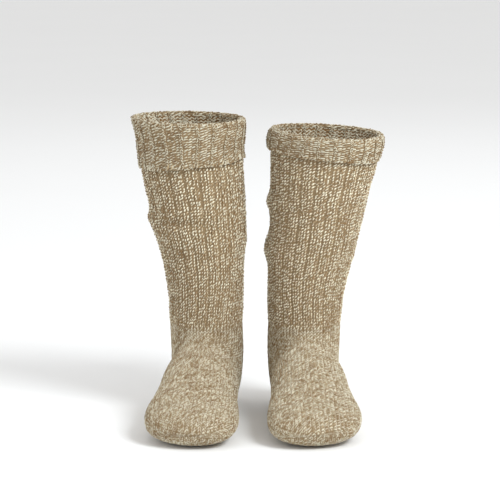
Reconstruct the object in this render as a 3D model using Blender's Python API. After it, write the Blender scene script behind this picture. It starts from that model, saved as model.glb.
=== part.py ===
"""A pair of thick marled wool boot socks, filled out to their worn form.

Units are metres and +Z is up. The toes point towards -Y. The right sock lies on
the -X side and the left sock on the +X side. The origin is the middle of the
right sock's hollow, at the height where its cuff grips.

Each sock is a hollow knitted wall in five pieces: a cuff that is turned down over
the leg, a ribbed leg, a heel, a foot and a toe. Its surface is one smooth sweep:
level sections down the leg, sections that fan round the heel, and upright sections
along the foot. Tables give the sections in millimetres. The ribs are raised in the
outer points only, over a plain inside.
"""

import math
from collections import namedtuple

import bmesh
import bpy
import numpy as np
from mathutils import Vector

MM = 0.001

# Driving dimensions, in millimetres
RIB_COUNT = 22
RIB_RISE = 1.4
WALL_INSIDE = 1.5
WALL_OUTSIDE = 0.4
PLAIN_RISE = 0.84
SEAM_GAP = 0.3
LAYER_GAP = 0.4
CUFF_WALL = 2.3
CUFF_WALE_RISE = 1.0
FOLD_HEIGHT = 4.0
ANKLE_HEIGHT = 92.0
RIB_FADE = 12.0
TURN_FORWARD = 54.0
HEEL_END_TURN = 60.0
TOE_START = 150.0
TOE_TIP_FORWARD = 189.0
TOE_TIP_HEIGHT = 13.8
TOE_TIP_INWARD = 9.5
TURN_TOP = 150.0
PLAIN_LIFTS = (WALL_OUTSIDE + PLAIN_RISE, -WALL_INSIDE)

# How finely the walls are divided
RIB_STEPS = (-0.27, 0.27, 0.5)
FOOT_STEPS = 28
EXPOSED_RING_PITCH = 8.6
ANKLE_RING_PITCH = 18.0
INSIDE_RING_PITCH = 26.0
PROBE_STEP = 0.5
LAYER_SHARES = (0.3, 0.65)
EDGE_ROUNDING = 1.2
SHARP_ANGLE = 50.0

# Where the right cuff grips: this point becomes the origin
GRIP_HEIGHT = 270.0
GRIP_BACK = 12.5

# Reach of the wall from the ankle's own upright line, down the leg
LegSection = namedtuple("LegSection", "height lateral medial front back")
RIGHT_LEG = (
    LegSection(height=310.0, lateral=75.2, medial=37.8, front=46.0, back=69.6),
    LegSection(height=285.0, lateral=67.8, medial=35.8, front=46.0, back=71.0),
    LegSection(height=265.0, lateral=66.0, medial=34.8, front=45.5, back=70.5),
    LegSection(height=250.0, lateral=65.2, medial=37.5, front=45.0, back=69.0),
    LegSection(height=235.0, lateral=62.4, medial=38.5, front=44.5, back=66.5),
    LegSection(height=215.0, lateral=57.7, medial=39.6, front=43.5, back=62.0),
    LegSection(height=195.0, lateral=55.6, medial=40.4, front=42.5, back=58.0),
    LegSection(height=180.0, lateral=50.4, medial=40.5, front=42.0, back=55.0),
    LegSection(height=160.0, lateral=44.4, medial=38.6, front=41.0, back=51.0),
    LegSection(height=135.0, lateral=39.6, medial=37.6, front=40.2, back=47.0),
    LegSection(height=115.0, lateral=37.2, medial=37.2, front=40.0, back=44.0),
    LegSection(height=92.0, lateral=36.8, medial=36.8, front=40.0, back=43.5),
)
LEFT_LEG = (
    LegSection(height=310.0, lateral=77.9, medial=28.8, front=46.0, back=69.4),
    LegSection(height=278.0, lateral=76.6, medial=33.8, front=46.0, back=71.0),
    LegSection(height=262.0, lateral=73.2, medial=34.0, front=45.5, back=70.5),
    LegSection(height=245.0, lateral=69.4, medial=34.0, front=45.0, back=68.5),
    LegSection(height=225.0, lateral=64.8, medial=34.8, front=44.0, back=64.5),
    LegSection(height=205.0, lateral=59.9, medial=35.0, front=43.0, back=60.0),
    LegSection(height=185.0, lateral=55.1, medial=35.2, front=42.3, back=56.0),
    LegSection(height=165.0, lateral=50.2, medial=36.0, front=41.3, back=52.0),
    LegSection(height=145.0, lateral=45.0, medial=36.6, front=40.5, back=48.5),
    LegSection(height=120.0, lateral=39.0, medial=37.0, front=40.0, back=44.4),
    LegSection(height=92.0, lateral=36.8, medial=36.8, front=40.0, back=43.5),
)

# Sections that turn about a line in front of the ankle, from level to upright
TurnSection = namedtuple("TurnSection", "turn gap instep_side sole_side half_width square")
TURN = (
    TurnSection(turn=15.0, gap=14.7, instep_side=49.5, sole_side=41.4, half_width=37.0, square=2.0),
    TurnSection(turn=30.0, gap=15.3, instep_side=60.5, sole_side=50.1, half_width=36.6, square=2.05),
    TurnSection(turn=37.5, gap=15.7, instep_side=62.5, sole_side=55.3, half_width=36.0, square=2.15),
    TurnSection(turn=45.0, gap=16.0, instep_side=62.5, sole_side=50.9, half_width=35.4, square=2.25),
    TurnSection(turn=52.5, gap=16.3, instep_side=58.5, sole_side=41.2, half_width=35.3, square=2.3),
    TurnSection(turn=60.0, gap=16.7, instep_side=54.0, sole_side=35.5, half_width=35.6, square=2.4),
    TurnSection(turn=75.0, gap=17.3, instep_side=47.0, sole_side=30.9, half_width=37.0, square=2.5),
    TurnSection(turn=90.0, gap=18.0, instep_side=44.0, sole_side=30.0, half_width=38.5, square=2.6),
)

# Upright sections along the foot
FootSection = namedtuple("FootSection", "forward top widest bottom half_width inward square")
FOOT = (
    FootSection(forward=80.0, top=62.0, widest=26.0, bottom=0.0, half_width=40.0, inward=0.5, square=2.6),
    FootSection(forward=105.0, top=53.0, widest=23.0, bottom=0.0, half_width=43.0, inward=1.5, square=2.6),
    FootSection(forward=130.0, top=44.5, widest=20.5, bottom=0.0, half_width=46.0, inward=2.0, square=2.6),
    FootSection(forward=150.0, top=38.5, widest=18.5, bottom=0.0, half_width=45.5, inward=3.5, square=2.5),
    FootSection(forward=165.0, top=33.5, widest=16.8, bottom=0.2, half_width=42.0, inward=5.0, square=2.4),
    FootSection(forward=175.0, top=29.5, widest=15.3, bottom=1.4, half_width=36.0, inward=6.5, square=2.2),
    FootSection(forward=182.0, top=25.3, widest=14.5, bottom=3.8, half_width=27.0, inward=8.0, square=2.1),
    FootSection(forward=187.0, top=20.0, widest=13.8, bottom=8.0, half_width=15.0, inward=9.0, square=2.0),
)

# Slack folds of the leg. facing turns from the front (0) to the outer side (90).
# A fold that slants drops by slant from its middle to its end at facing + span.
Fold = namedtuple("Fold", "height facing span half_height slant rise")
RIGHT_FOLDS = (
    Fold(height=202.0, facing=88.0, span=38.0, half_height=6.0, slant=-3.0, rise=2.3),
    Fold(height=200.5, facing=22.0, span=34.0, half_height=5.0, slant=-2.0, rise=-1.7),
    Fold(height=210.0, facing=15.0, span=40.0, half_height=6.0, slant=-2.0, rise=1.3),
    Fold(height=176.0, facing=-60.0, span=36.0, half_height=6.5, slant=4.0, rise=1.5),
    Fold(height=188.0, facing=165.0, span=50.0, half_height=6.5, slant=6.0, rise=2.0),
    Fold(height=174.0, facing=195.0, span=45.0, half_height=6.0, slant=-5.0, rise=-1.5),
    Fold(height=226.0, facing=215.0, span=40.0, half_height=7.0, slant=5.0, rise=1.2),
)
LEFT_FOLDS = (
    Fold(height=217.5, facing=-90.0, span=38.0, half_height=6.5, slant=3.0, rise=3.4),
    Fold(height=169.0, facing=-90.0, span=44.0, half_height=12.0, slant=4.0, rise=5.2),
    Fold(height=213.0, facing=-32.0, span=42.0, half_height=5.5, slant=-11.0, rise=-1.7),
    Fold(height=186.0, facing=20.0, span=46.0, half_height=6.5, slant=-6.0, rise=1.3),
    Fold(height=196.0, facing=170.0, span=50.0, half_height=6.5, slant=-6.0, rise=1.9),
    Fold(height=178.0, facing=205.0, span=46.0, half_height=6.0, slant=5.0, rise=-1.5),
    Fold(height=160.0, facing=120.0, span=40.0, half_height=7.0, slant=4.0, rise=1.4),
)

# side is +1 where the outer side faces +X. The cuff's rim and depth change by the
# named amount towards the outer side.
Sock = namedtuple(
    "Sock",
    "name side ankle_x toe_out legs folds rim rim_tilt cuff_depth cuff_depth_tilt cuff_bulge",
)
RIGHT = Sock(
    name="right",
    side=-1,
    ankle_x=-46.0,
    toe_out=6.0,
    legs=RIGHT_LEG,
    folds=RIGHT_FOLDS,
    rim=305.5,
    rim_tilt=1.0,
    cuff_depth=48.0,
    cuff_depth_tilt=6.0,
    cuff_bulge=0.3,
)
LEFT = Sock(
    name="left",
    side=1,
    ankle_x=57.0,
    toe_out=4.0,
    legs=LEFT_LEG,
    folds=LEFT_FOLDS,
    rim=291.7,
    rim_tilt=-3.2,
    cuff_depth=26.5,
    cuff_depth_tilt=3.0,
    cuff_bulge=1.3,
)

# The cuff's section, from its inner seam over the fold and back up behind the layer
# that is turned down. share counts down that layer and drop is millimetres below it.
# lift is measured from the named face, and bulge is a share of the sock's own bulge.
CUFF_FACES = {
    "hollow": -WALL_INSIDE,
    "fold": (RIB_RISE + WALL_OUTSIDE + LAYER_GAP + CUFF_WALL - WALL_INSIDE) / 2,
    "behind": RIB_RISE + WALL_OUTSIDE + LAYER_GAP,
    "front": RIB_RISE + WALL_OUTSIDE + LAYER_GAP + CUFF_WALL,
}
CuffLoop = namedtuple("CuffLoop", "share drop face lift bulge waled")
CUFF = (
    CuffLoop(share=0.0, drop=FOLD_HEIGHT, face="hollow", lift=0.0, bulge=0.0, waled=False),
    CuffLoop(share=0.0, drop=2.2, face="hollow", lift=0.0, bulge=0.0, waled=False),
    CuffLoop(share=0.0, drop=0.6, face="hollow", lift=0.9, bulge=0.0, waled=False),
    CuffLoop(share=0.0, drop=0.0, face="fold", lift=0.0, bulge=0.0, waled=False),
    CuffLoop(share=0.0, drop=1.0, face="front", lift=-0.8, bulge=0.0, waled=False),
    CuffLoop(share=0.15, drop=1.5, face="front", lift=0.0, bulge=0.5, waled=True),
    CuffLoop(share=0.45, drop=0.0, face="front", lift=0.0, bulge=1.0, waled=True),
    CuffLoop(share=0.75, drop=0.0, face="front", lift=0.0, bulge=0.7, waled=True),
    CuffLoop(share=1.0, drop=-EDGE_ROUNDING, face="front", lift=0.0, bulge=0.0, waled=True),
    CuffLoop(share=1.0, drop=0.0, face="front", lift=-0.9, bulge=0.0, waled=False),
    CuffLoop(share=1.0, drop=0.0, face="behind", lift=0.5, bulge=0.0, waled=False),
    CuffLoop(share=1.0, drop=-EDGE_ROUNDING, face="behind", lift=0.0, bulge=0.0, waled=False),
    CuffLoop(share=LAYER_SHARES[1], drop=0.0, face="behind", lift=0.0, bulge=0.0, waled=False),
    CuffLoop(share=LAYER_SHARES[0], drop=0.0, face="behind", lift=0.0, bulge=0.0, waled=False),
    CuffLoop(share=0.0, drop=FOLD_HEIGHT, face="behind", lift=0.0, bulge=0.0, waled=False),
)

KNIT_COLOUR = (0.407, 0.332, 0.220)
KNIT_ROUGHNESS = 0.95
PIECE_TINTS = {"cuff": 1.04, "leg": 1.0, "heel": 0.94, "foot": 0.98, "toe": 0.94}


def sweep_table(sock):
    """Distances down the sweep, and each section's place, turn and reaches."""
    top = sock.legs[0].height
    distances = []
    rows = []
    for leg in sock.legs:
        half_width = (leg.lateral + leg.medial) / 2
        half_depth = (leg.front + leg.back) / 2
        offset = (leg.lateral - leg.medial) / 2
        middle = (leg.back - leg.front) / 2
        distances.append(top - leg.height)
        rows.append((offset, middle, leg.height, 0.0, half_width, half_depth, half_depth, 2.0))
    for part in TURN:
        turn = math.radians(part.turn)
        reach = part.gap + part.instep_side
        middle = -TURN_FORWARD + reach * math.cos(turn)
        height = ANKLE_HEIGHT - reach * math.sin(turn)
        step = math.hypot(middle - rows[-1][1], height - rows[-1][2])
        distances.append(distances[-1] + step)
        rows.append(
            (0.0, middle, height, turn, part.half_width, part.instep_side, part.sole_side, part.square)
        )
    for foot in FOOT:
        distances.append(distances[-1] + (foot.forward + rows[-1][1]))
        rows.append(
            (
                -foot.inward,
                -foot.forward,
                foot.widest,
                math.pi / 2,
                foot.half_width,
                foot.top - foot.widest,
                foot.widest - foot.bottom,
                foot.square,
            )
        )
    return np.array(distances), np.array(rows)


class Surface:
    """The smooth surface of one sock, halfway through its wall."""

    def __init__(self, sock):
        self.sock = sock
        self.distances, self.rows = sweep_table(sock)
        self.slopes = np.gradient(self.rows, self.distances, axis=0)
        self.leg_end = self.distances[len(sock.legs) - 1]
        after_leg = self.distances[len(sock.legs) - 1 :]
        self.heel_rows = [self.leg_end]
        self.foot_rows = []
        self.toe_rows = []
        for part, distance in zip(TURN + FOOT, after_leg[1:]):
            if isinstance(part, TurnSection) and part.turn <= HEEL_END_TURN:
                self.heel_rows.append(distance)
            elif isinstance(part, TurnSection) or part.forward <= TOE_START:
                self.foot_rows.append(distance)
            else:
                self.toe_rows.append(distance)
        self.last = self.distances[-1]

    def at_height(self, height):
        """Distance down the sweep of a level section of the leg."""
        return self.sock.legs[0].height - height

    def section(self, distance):
        """A section between two rows, on a smooth curve through them."""
        i = int(np.clip(np.searchsorted(self.distances, distance) - 1, 0, len(self.rows) - 2))
        gap = self.distances[i + 1] - self.distances[i]
        t = (distance - self.distances[i]) / gap
        here = (1 + 2 * t) * (1 - t) ** 2 * self.rows[i] + t * (1 - t) ** 2 * gap * self.slopes[i]
        there = t * t * (3 - 2 * t) * self.rows[i + 1] + t * t * (t - 1) * gap * self.slopes[i + 1]
        return here + there

    def plain(self, distance, angle):
        """Point on the surface with no folds. angle turns from the front to the outer side."""
        offset, middle, height, turn, half_width, instep_side, sole_side, square = self.section(distance)
        across = math.sin(angle)
        along = math.cos(angle)
        if along < 0:
            across = math.copysign(abs(across) ** (2 / square), across)
            along = -(abs(along) ** (2 / square))
        reach = (instep_side if along > 0 else sole_side) * along
        outward = offset + half_width * across
        back = middle - reach * math.cos(turn)
        up = height + reach * math.sin(turn)
        return self.turned(outward, back, up, height)

    def turned(self, outward, back, up, section_height):
        """The foot turned outwards on the ankle's upright line, then moved to its side of the pair."""
        share = min(max((TURN_TOP - section_height) / (TURN_TOP - ANKLE_HEIGHT), 0.0), 1.0)
        share = share * share * (3 - 2 * share)
        turn = math.radians(self.sock.toe_out) * share
        aside = outward * math.cos(turn) - back * math.sin(turn)
        behind = outward * math.sin(turn) + back * math.cos(turn)
        return Vector((self.sock.ankle_x + self.sock.side * aside, behind, up))

    def normal(self, distance, angle):
        """Direction out of the wall, which is level down the leg."""
        step = PROBE_STEP
        turn = math.radians(1.0)
        before = max(distance - step, 0.0)
        after = min(distance + step, self.last)
        down = self.plain(after, angle) - self.plain(before, angle)
        around = self.plain(distance, angle + turn) - self.plain(distance, angle - turn)
        out = around.cross(down) * -self.sock.side
        if distance <= self.leg_end:
            out.z = 0.0
        return out.normalized()

    def fold_rise(self, distance, angle):
        """How far the slack folds lift the leg's wall here."""
        height = self.sock.legs[0].height - distance
        rise = 0.0
        for fold in self.sock.folds:
            away = math.degrees(angle) - fold.facing
            away = (away + 180.0) % 360.0 - 180.0
            share = away / fold.span
            above = (height - fold.height + fold.slant * share) / fold.half_height
            rise += fold.rise * math.exp(-share * share - above * above)
        return rise

    def point(self, distance, angle, lift=0.0):
        """Point of the wall, lift millimetres out of the smooth surface."""
        if distance < self.leg_end:
            lift += self.fold_rise(distance, angle)
        return self.plain(distance, angle) + self.normal(distance, angle) * lift


def place(point):
    """Millimetres from the ground line to metres from the origin."""
    grip_x = RIGHT.ankle_x - grip_offset(RIGHT)
    return Vector((point.x - grip_x, point.y - GRIP_BACK, point.z - GRIP_HEIGHT)) * MM


def grip_offset(sock):
    """Sideways distance of the leg's middle from the ankle's upright line, at the grip."""
    surface = Surface(sock)
    return surface.section(surface.at_height(GRIP_HEIGHT))[0]


def rib_angles():
    """Directions of the points on and between the ribs, all round."""
    pitch = 2 * math.pi / RIB_COUNT
    return [pitch * (rib + step) for rib in range(RIB_COUNT) for step in RIB_STEPS]


def between_ribs_angles():
    """One direction for each rib, in the groove beside it."""
    pitch = 2 * math.pi / RIB_COUNT
    return [pitch * (rib + RIB_STEPS[-1]) for rib in range(RIB_COUNT)]


def is_groove(index):
    return index % len(RIB_STEPS) == len(RIB_STEPS) - 1


def add_loop(mesh, points):
    return [mesh.verts.new(place(point)) for point in points]


def join_loops(mesh, first, second):
    """Closes the band between two loops. One may have a whole multiple of the other's points."""
    if len(first) < len(second):
        first, second = second, first
    many = len(first)
    ratio = many // len(second)
    for i in range(many):
        a = first[i]
        b = first[(i + 1) % many]
        c = second[(i // ratio) % len(second)]
        if ratio == 1:
            mesh.faces.new((a, b, second[(i + 1) % many], c))
            continue
        shift = (i + ratio // 2) // ratio
        near = second[shift % len(second)]
        after = second[((i + 1 + ratio // 2) // ratio) % len(second)]
        mesh.faces.new((a, b, near))
        if after is not near:
            mesh.faces.new((b, after, near))


def finish_piece(mesh, sock, piece, collection):
    """Turns a closed bmesh into a named object with its own material."""
    bmesh.ops.recalc_face_normals(mesh, faces=mesh.faces)
    bmesh.ops.triangulate(mesh, faces=mesh.faces)
    name = f"{sock.name}_{piece}"
    data = bpy.data.meshes.new(name)
    mesh.to_mesh(data)
    mesh.free()
    data.shade_smooth()
    data.set_sharp_from_angle(angle=math.radians(SHARP_ANGLE))
    data.materials.append(knit_material(name, PIECE_TINTS[piece]))
    item = bpy.data.objects.new(name, data)
    collection.objects.link(item)
    return item


def knit_material(name, tint):
    """Matt marled wool."""
    material = bpy.data.materials.new(f"{name}_wool")
    material.use_nodes = True
    shader = material.node_tree.nodes["Principled BSDF"]
    shader.inputs["Base Color"].default_value = (*(tint * part for part in KNIT_COLOUR), 1.0)
    shader.inputs["Roughness"].default_value = KNIT_ROUGHNESS
    shader.inputs["Metallic"].default_value = 0.0
    return material


def rim_height(sock, angle):
    return sock.rim + sock.rim_tilt * math.sin(angle)


def cuff_edge_height(sock, angle):
    depth = sock.cuff_depth + sock.cuff_depth_tilt * math.sin(angle)
    return rim_height(sock, angle) - depth


def under_cuff(sock, angle, share, drop):
    """Height at a share of the turned-down depth, and drop millimetres lower."""
    rim = rim_height(sock, angle)
    return rim + share * (cuff_edge_height(sock, angle) - rim) - drop


def shown_heights(sock):
    """Heights of the leg's outer rings below the cuff: close together where most folds are."""
    edge = sock.rim - sock.cuff_depth - abs(sock.cuff_depth_tilt) - abs(sock.rim_tilt)
    spans = (
        (edge, TURN_TOP, EXPOSED_RING_PITCH),
        (TURN_TOP, ANKLE_HEIGHT, ANKLE_RING_PITCH),
    )
    heights = []
    for high, low, pitch in spans:
        count = max(1, round((high - low) / pitch))
        heights += [high + (low - high) * i / count for i in range(count)]
    return heights[1:]


def rib_lift(height, index):
    """Lift of an outer point of the leg: a broad rib with a narrow groove, fading at the ankle."""
    fade = min(max((height - ANKLE_HEIGHT) / RIB_FADE, 0.0), 1.0)
    middle = WALL_OUTSIDE + PLAIN_RISE * (1 - fade)
    return middle + (0.0 if is_groove(index) else RIB_RISE * fade)


def build_leg(sock, surface, collection):
    """Ribbed tube from under the turned cuff down to the ankle."""
    mesh = bmesh.new()
    outer_angles = rib_angles()
    inner_angles = between_ribs_angles()
    top_drop = FOLD_HEIGHT + SEAM_GAP
    bottom = ANKLE_HEIGHT + SEAM_GAP

    def outer_ring(height_of):
        points = []
        for index, angle in enumerate(outer_angles):
            height = height_of(angle)
            points.append(surface.point(surface.at_height(height), angle, rib_lift(height, index)))
        return add_loop(mesh, points)

    def inner_ring(height_of):
        points = []
        for angle in inner_angles:
            points.append(surface.point(surface.at_height(height_of(angle)), angle, -WALL_INSIDE))
        return add_loop(mesh, points)

    def top_height(angle):
        return rim_height(sock, angle) - top_drop

    outer = [outer_ring(top_height)]
    for share in LAYER_SHARES:
        outer.append(outer_ring(lambda angle, share=share: under_cuff(sock, angle, share, 0.0)))
    outer.append(outer_ring(lambda angle: under_cuff(sock, angle, 1.0, -EDGE_ROUNDING)))
    for height in shown_heights(sock):
        outer.append(outer_ring(lambda angle, level=height: level))
    outer.append(outer_ring(lambda angle: bottom))
    inner = [inner_ring(top_height)]
    inner_count = round((sock.rim - top_drop - bottom) / INSIDE_RING_PITCH)
    for i in range(1, inner_count):
        level = sock.rim - top_drop + (bottom - sock.rim + top_drop) * i / inner_count
        inner.append(inner_ring(lambda angle, level=level: level))
    inner.append(inner_ring(lambda angle: bottom))
    for upper, lower in zip(outer, outer[1:]):
        join_loops(mesh, upper, lower)
    for upper, lower in zip(inner, inner[1:]):
        join_loops(mesh, upper, lower)
    join_loops(mesh, outer[0], inner[0])
    join_loops(mesh, outer[-1], inner[-1])
    return finish_piece(mesh, sock, "leg", collection)


def build_cuff(sock, surface, collection):
    """Fold at the rim and the layer turned down over the leg, showing the knit's back."""
    mesh = bmesh.new()
    loops = []
    for row in CUFF:
        angles = between_ribs_angles() if row.face == "hollow" else rib_angles()
        lift = CUFF_FACES[row.face] + row.lift + row.bulge * sock.cuff_bulge
        points = []
        for index, angle in enumerate(angles):
            raised = CUFF_WALE_RISE if row.waled and is_groove(index) else 0.0
            distance = surface.at_height(under_cuff(sock, angle, row.share, row.drop))
            points.append(surface.point(distance, angle, lift + raised))
        loops.append(add_loop(mesh, points))
    for first, second in zip(loops, loops[1:] + loops[:1]):
        join_loops(mesh, first, second)
    return finish_piece(mesh, sock, "cuff", collection)


def whole_wall(row, column):
    return True


def wall_patch(mesh, surface, distances, angles, closed, keep=whole_wall):
    """Closed wall over the cells of a grid that keep(row, column) names, all round or in part."""
    columns = len(angles)
    layers = []
    for lift in PLAIN_LIFTS:
        rows = []
        for distance in distances:
            rows.append([mesh.verts.new(place(surface.point(distance, angle, lift))) for angle in angles])
        layers.append(rows)
    outer, inner = layers
    cell_columns = columns if closed else columns - 1
    kept = {
        (row, column)
        for row in range(len(distances) - 1)
        for column in range(cell_columns)
        if keep(row, column)
    }

    def corner(layer, row, column):
        return layer[row][column % columns]

    for row, column in kept:
        for layer in (outer, inner):
            mesh.faces.new(
                (
                    corner(layer, row, column),
                    corner(layer, row, column + 1),
                    corner(layer, row + 1, column + 1),
                    corner(layer, row + 1, column),
                )
            )
        sides = (
            ((row - 1, column), (row, column), (row, column + 1)),
            ((row + 1, column), (row + 1, column), (row + 1, column + 1)),
            ((row, column - 1), (row, column), (row + 1, column)),
            ((row, column + 1), (row, column + 1), (row + 1, column + 1)),
        )
        for beyond, start, end in sides:
            there = (beyond[0], beyond[1] % columns if closed else beyond[1])
            if there in kept:
                continue
            mesh.faces.new(
                (
                    corner(outer, *start),
                    corner(outer, *end),
                    corner(inner, *end),
                    corner(inner, *start),
                )
            )
    unused = [vertex for vertex in mesh.verts if not vertex.link_faces]
    bmesh.ops.delete(mesh, geom=unused, context="VERTS")
    return outer, inner


def spaced(start, end, count):
    return [start + (end - start) * i / count for i in range(count + 1)]


def build_heel(sock, surface, collection):
    """Cup round the back and underside of the heel, between leg and foot."""
    mesh = bmesh.new()
    gap_turn = SEAM_GAP / TURN[0].half_width
    angles = spaced(math.pi / 2, math.pi * 1.5, FOOT_STEPS // 2)
    angles[0] += gap_turn
    angles[-1] -= gap_turn
    distances = list(surface.heel_rows)
    distances[-1] -= 2 * SEAM_GAP
    wall_patch(mesh, surface, distances, angles, closed=False)
    return finish_piece(mesh, sock, "heel", collection)


def build_foot(sock, surface, collection):
    """Instep in front of the heel, widening to a whole tube as far as the toes."""
    mesh = bmesh.new()
    step = 2 * math.pi / FOOT_STEPS
    angles = [step * i for i in range(FOOT_STEPS)]
    quarter = FOOT_STEPS // 4
    instep_rows = len(surface.heel_rows) - 1
    distances = surface.heel_rows + surface.foot_rows
    distances[-1] -= SEAM_GAP

    def keep(row, column):
        return row >= instep_rows or column < quarter or column >= FOOT_STEPS - quarter

    wall_patch(mesh, surface, distances, angles, closed=True, keep=keep)
    return finish_piece(mesh, sock, "foot", collection)


def build_toe(sock, surface, collection):
    """Rounded cap that closes the foot."""
    mesh = bmesh.new()
    step = 2 * math.pi / FOOT_STEPS
    angles = [step * i for i in range(FOOT_STEPS)]
    rows = [surface.foot_rows[-1]] + surface.toe_rows
    layers = wall_patch(mesh, surface, rows, angles, closed=True)
    tip = surface.turned(-TOE_TIP_INWARD, -TOE_TIP_FORWARD, TOE_TIP_HEIGHT, TOE_TIP_HEIGHT)
    ahead = surface.turned(-TOE_TIP_INWARD, -TOE_TIP_FORWARD - 1, TOE_TIP_HEIGHT, TOE_TIP_HEIGHT) - tip
    last_rings = [layer[-1] for layer in layers]
    rim_faces = [
        face for face in mesh.faces if all(vertex in last_rings[0] + last_rings[1] for vertex in face.verts)
    ]
    bmesh.ops.delete(mesh, geom=rim_faces, context="FACES_ONLY")
    for ring, lift in zip(last_rings, PLAIN_LIFTS):
        pole = mesh.verts.new(place(tip + ahead * lift))
        for i, vertex in enumerate(ring):
            mesh.faces.new((vertex, ring[(i + 1) % len(ring)], pole))
    return finish_piece(mesh, sock, "toe", collection)


def clear_scene():
    for item in list(bpy.data.objects):
        bpy.data.objects.remove(item, do_unlink=True)


def main():
    clear_scene()
    collection = bpy.data.collections.new("pair_of_boot_socks")
    bpy.context.scene.collection.children.link(collection)
    for sock in (RIGHT, LEFT):
        surface = Surface(sock)
        build_cuff(sock, surface, collection)
        build_leg(sock, surface, collection)
        build_heel(sock, surface, collection)
        build_foot(sock, surface, collection)
        build_toe(sock, surface, collection)


main()
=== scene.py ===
"""The knitted cloth, yarn, floor, lights and camera for a pair of boot socks.

Each sock is five thin walls (cuff, leg, heel, foot and toe) with the yarn of its
knit laid on them stitch by stitch. Tables are in millimetres above the soles, and
place() turns them into the frame's metres.
"""

import math
from collections import namedtuple

import bmesh
import bpy
import numpy as np
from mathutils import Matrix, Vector


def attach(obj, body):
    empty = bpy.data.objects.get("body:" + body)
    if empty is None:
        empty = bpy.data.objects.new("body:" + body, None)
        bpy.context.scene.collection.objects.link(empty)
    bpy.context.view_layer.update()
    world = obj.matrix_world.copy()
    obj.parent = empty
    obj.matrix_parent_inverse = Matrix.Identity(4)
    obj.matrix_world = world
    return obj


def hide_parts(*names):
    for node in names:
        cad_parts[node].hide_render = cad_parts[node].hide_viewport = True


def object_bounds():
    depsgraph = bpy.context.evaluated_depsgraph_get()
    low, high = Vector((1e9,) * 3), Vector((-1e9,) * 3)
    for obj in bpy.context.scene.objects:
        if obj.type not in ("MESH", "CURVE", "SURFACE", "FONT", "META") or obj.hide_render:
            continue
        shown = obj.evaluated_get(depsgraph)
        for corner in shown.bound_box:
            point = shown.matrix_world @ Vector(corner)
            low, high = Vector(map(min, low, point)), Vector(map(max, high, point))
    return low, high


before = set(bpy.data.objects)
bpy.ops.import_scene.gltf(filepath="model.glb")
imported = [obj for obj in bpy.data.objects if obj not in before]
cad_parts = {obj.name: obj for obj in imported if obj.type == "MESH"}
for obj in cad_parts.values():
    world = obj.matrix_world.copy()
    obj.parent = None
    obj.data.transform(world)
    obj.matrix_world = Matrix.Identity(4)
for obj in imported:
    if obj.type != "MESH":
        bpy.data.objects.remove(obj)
CAD_BOX = [list(corner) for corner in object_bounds()]

bl_info = {
    "name": "Pair of Boot Socks",
    "version": (1, 0, 0),
    "blender": (4, 5, 0),
    "location": "3D View > Sidebar > Socks",
    "description": "Builds a pair of thick marled rib-knit socks, stitch by stitch",
    "category": "Add Mesh",
}

MM = 0.001
FULL_TURN = 2 * math.pi
ALL_ROUND = (0.0, FULL_TURN)
FRONT_HALF = (-math.pi / 2, math.pi / 2)
BACK_HALF = (math.pi / 2, math.pi * 1.5)
YARN_MAP = "OFBake"

# The shape that the solids have, in millimetres
RIB_COUNT = 22
RIB_RISE = 1.4
WALL_INSIDE = 1.5
WALL_OUTSIDE = 0.4
PLAIN_RISE = 0.84
CUFF_WALE_RISE = 1.0
FOLD_HEIGHT = 4.0
ANKLE_HEIGHT = 92.0
RIB_FADE = 12.0
TURN_FORWARD = 54.0
HEEL_END_TURN = 60.0
TOE_START = 150.0
TOE_TIP_FORWARD = 189.0
TURN_TOP = 150.0
GRIP_HEIGHT = 270.0
GRIP_BACK = 12.5
RIM_DIP_FACING = math.radians(14.0)
SEAM_GAP = 0.3

# How far the yarn's crowns stand over the wall they are laid on
YARN_CROWN = 0.95


def rows_of(kind, *rows):
    """A table whose rows have the names of their kind's fields."""
    return tuple(kind(*row) for row in rows)


LegSection = namedtuple("LegSection", "height lateral medial front back")
RIGHT_LEG = rows_of(
    LegSection,
    (310.0, 75.2, 37.8, 46.0, 69.6),
    (285.0, 67.8, 35.8, 46.0, 71.0),
    (265.0, 66.0, 34.8, 45.5, 70.5),
    (250.0, 65.2, 37.5, 45.0, 69.0),
    (235.0, 62.4, 38.5, 44.5, 66.5),
    (215.0, 57.7, 39.6, 43.5, 62.0),
    (195.0, 55.6, 40.4, 42.5, 58.0),
    (180.0, 50.4, 40.5, 42.0, 55.0),
    (160.0, 44.4, 38.6, 41.0, 51.0),
    (135.0, 39.6, 37.6, 40.2, 47.0),
    (115.0, 37.2, 37.2, 40.0, 44.0),
    (92.0, 36.8, 36.8, 40.0, 43.5),
)
LEFT_LEG = rows_of(
    LegSection,
    (310.0, 77.9, 28.8, 46.0, 69.4),
    (278.0, 76.6, 33.8, 46.0, 71.0),
    (262.0, 73.2, 34.0, 45.5, 70.5),
    (245.0, 69.4, 34.0, 45.0, 68.5),
    (225.0, 64.8, 34.8, 44.0, 64.5),
    (205.0, 59.9, 35.0, 43.0, 60.0),
    (185.0, 55.1, 35.2, 42.3, 56.0),
    (165.0, 50.2, 36.0, 41.3, 52.0),
    (145.0, 45.0, 36.6, 40.5, 48.5),
    (120.0, 39.0, 37.0, 40.0, 44.4),
    (92.0, 36.8, 36.8, 40.0, 43.5),
)

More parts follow.
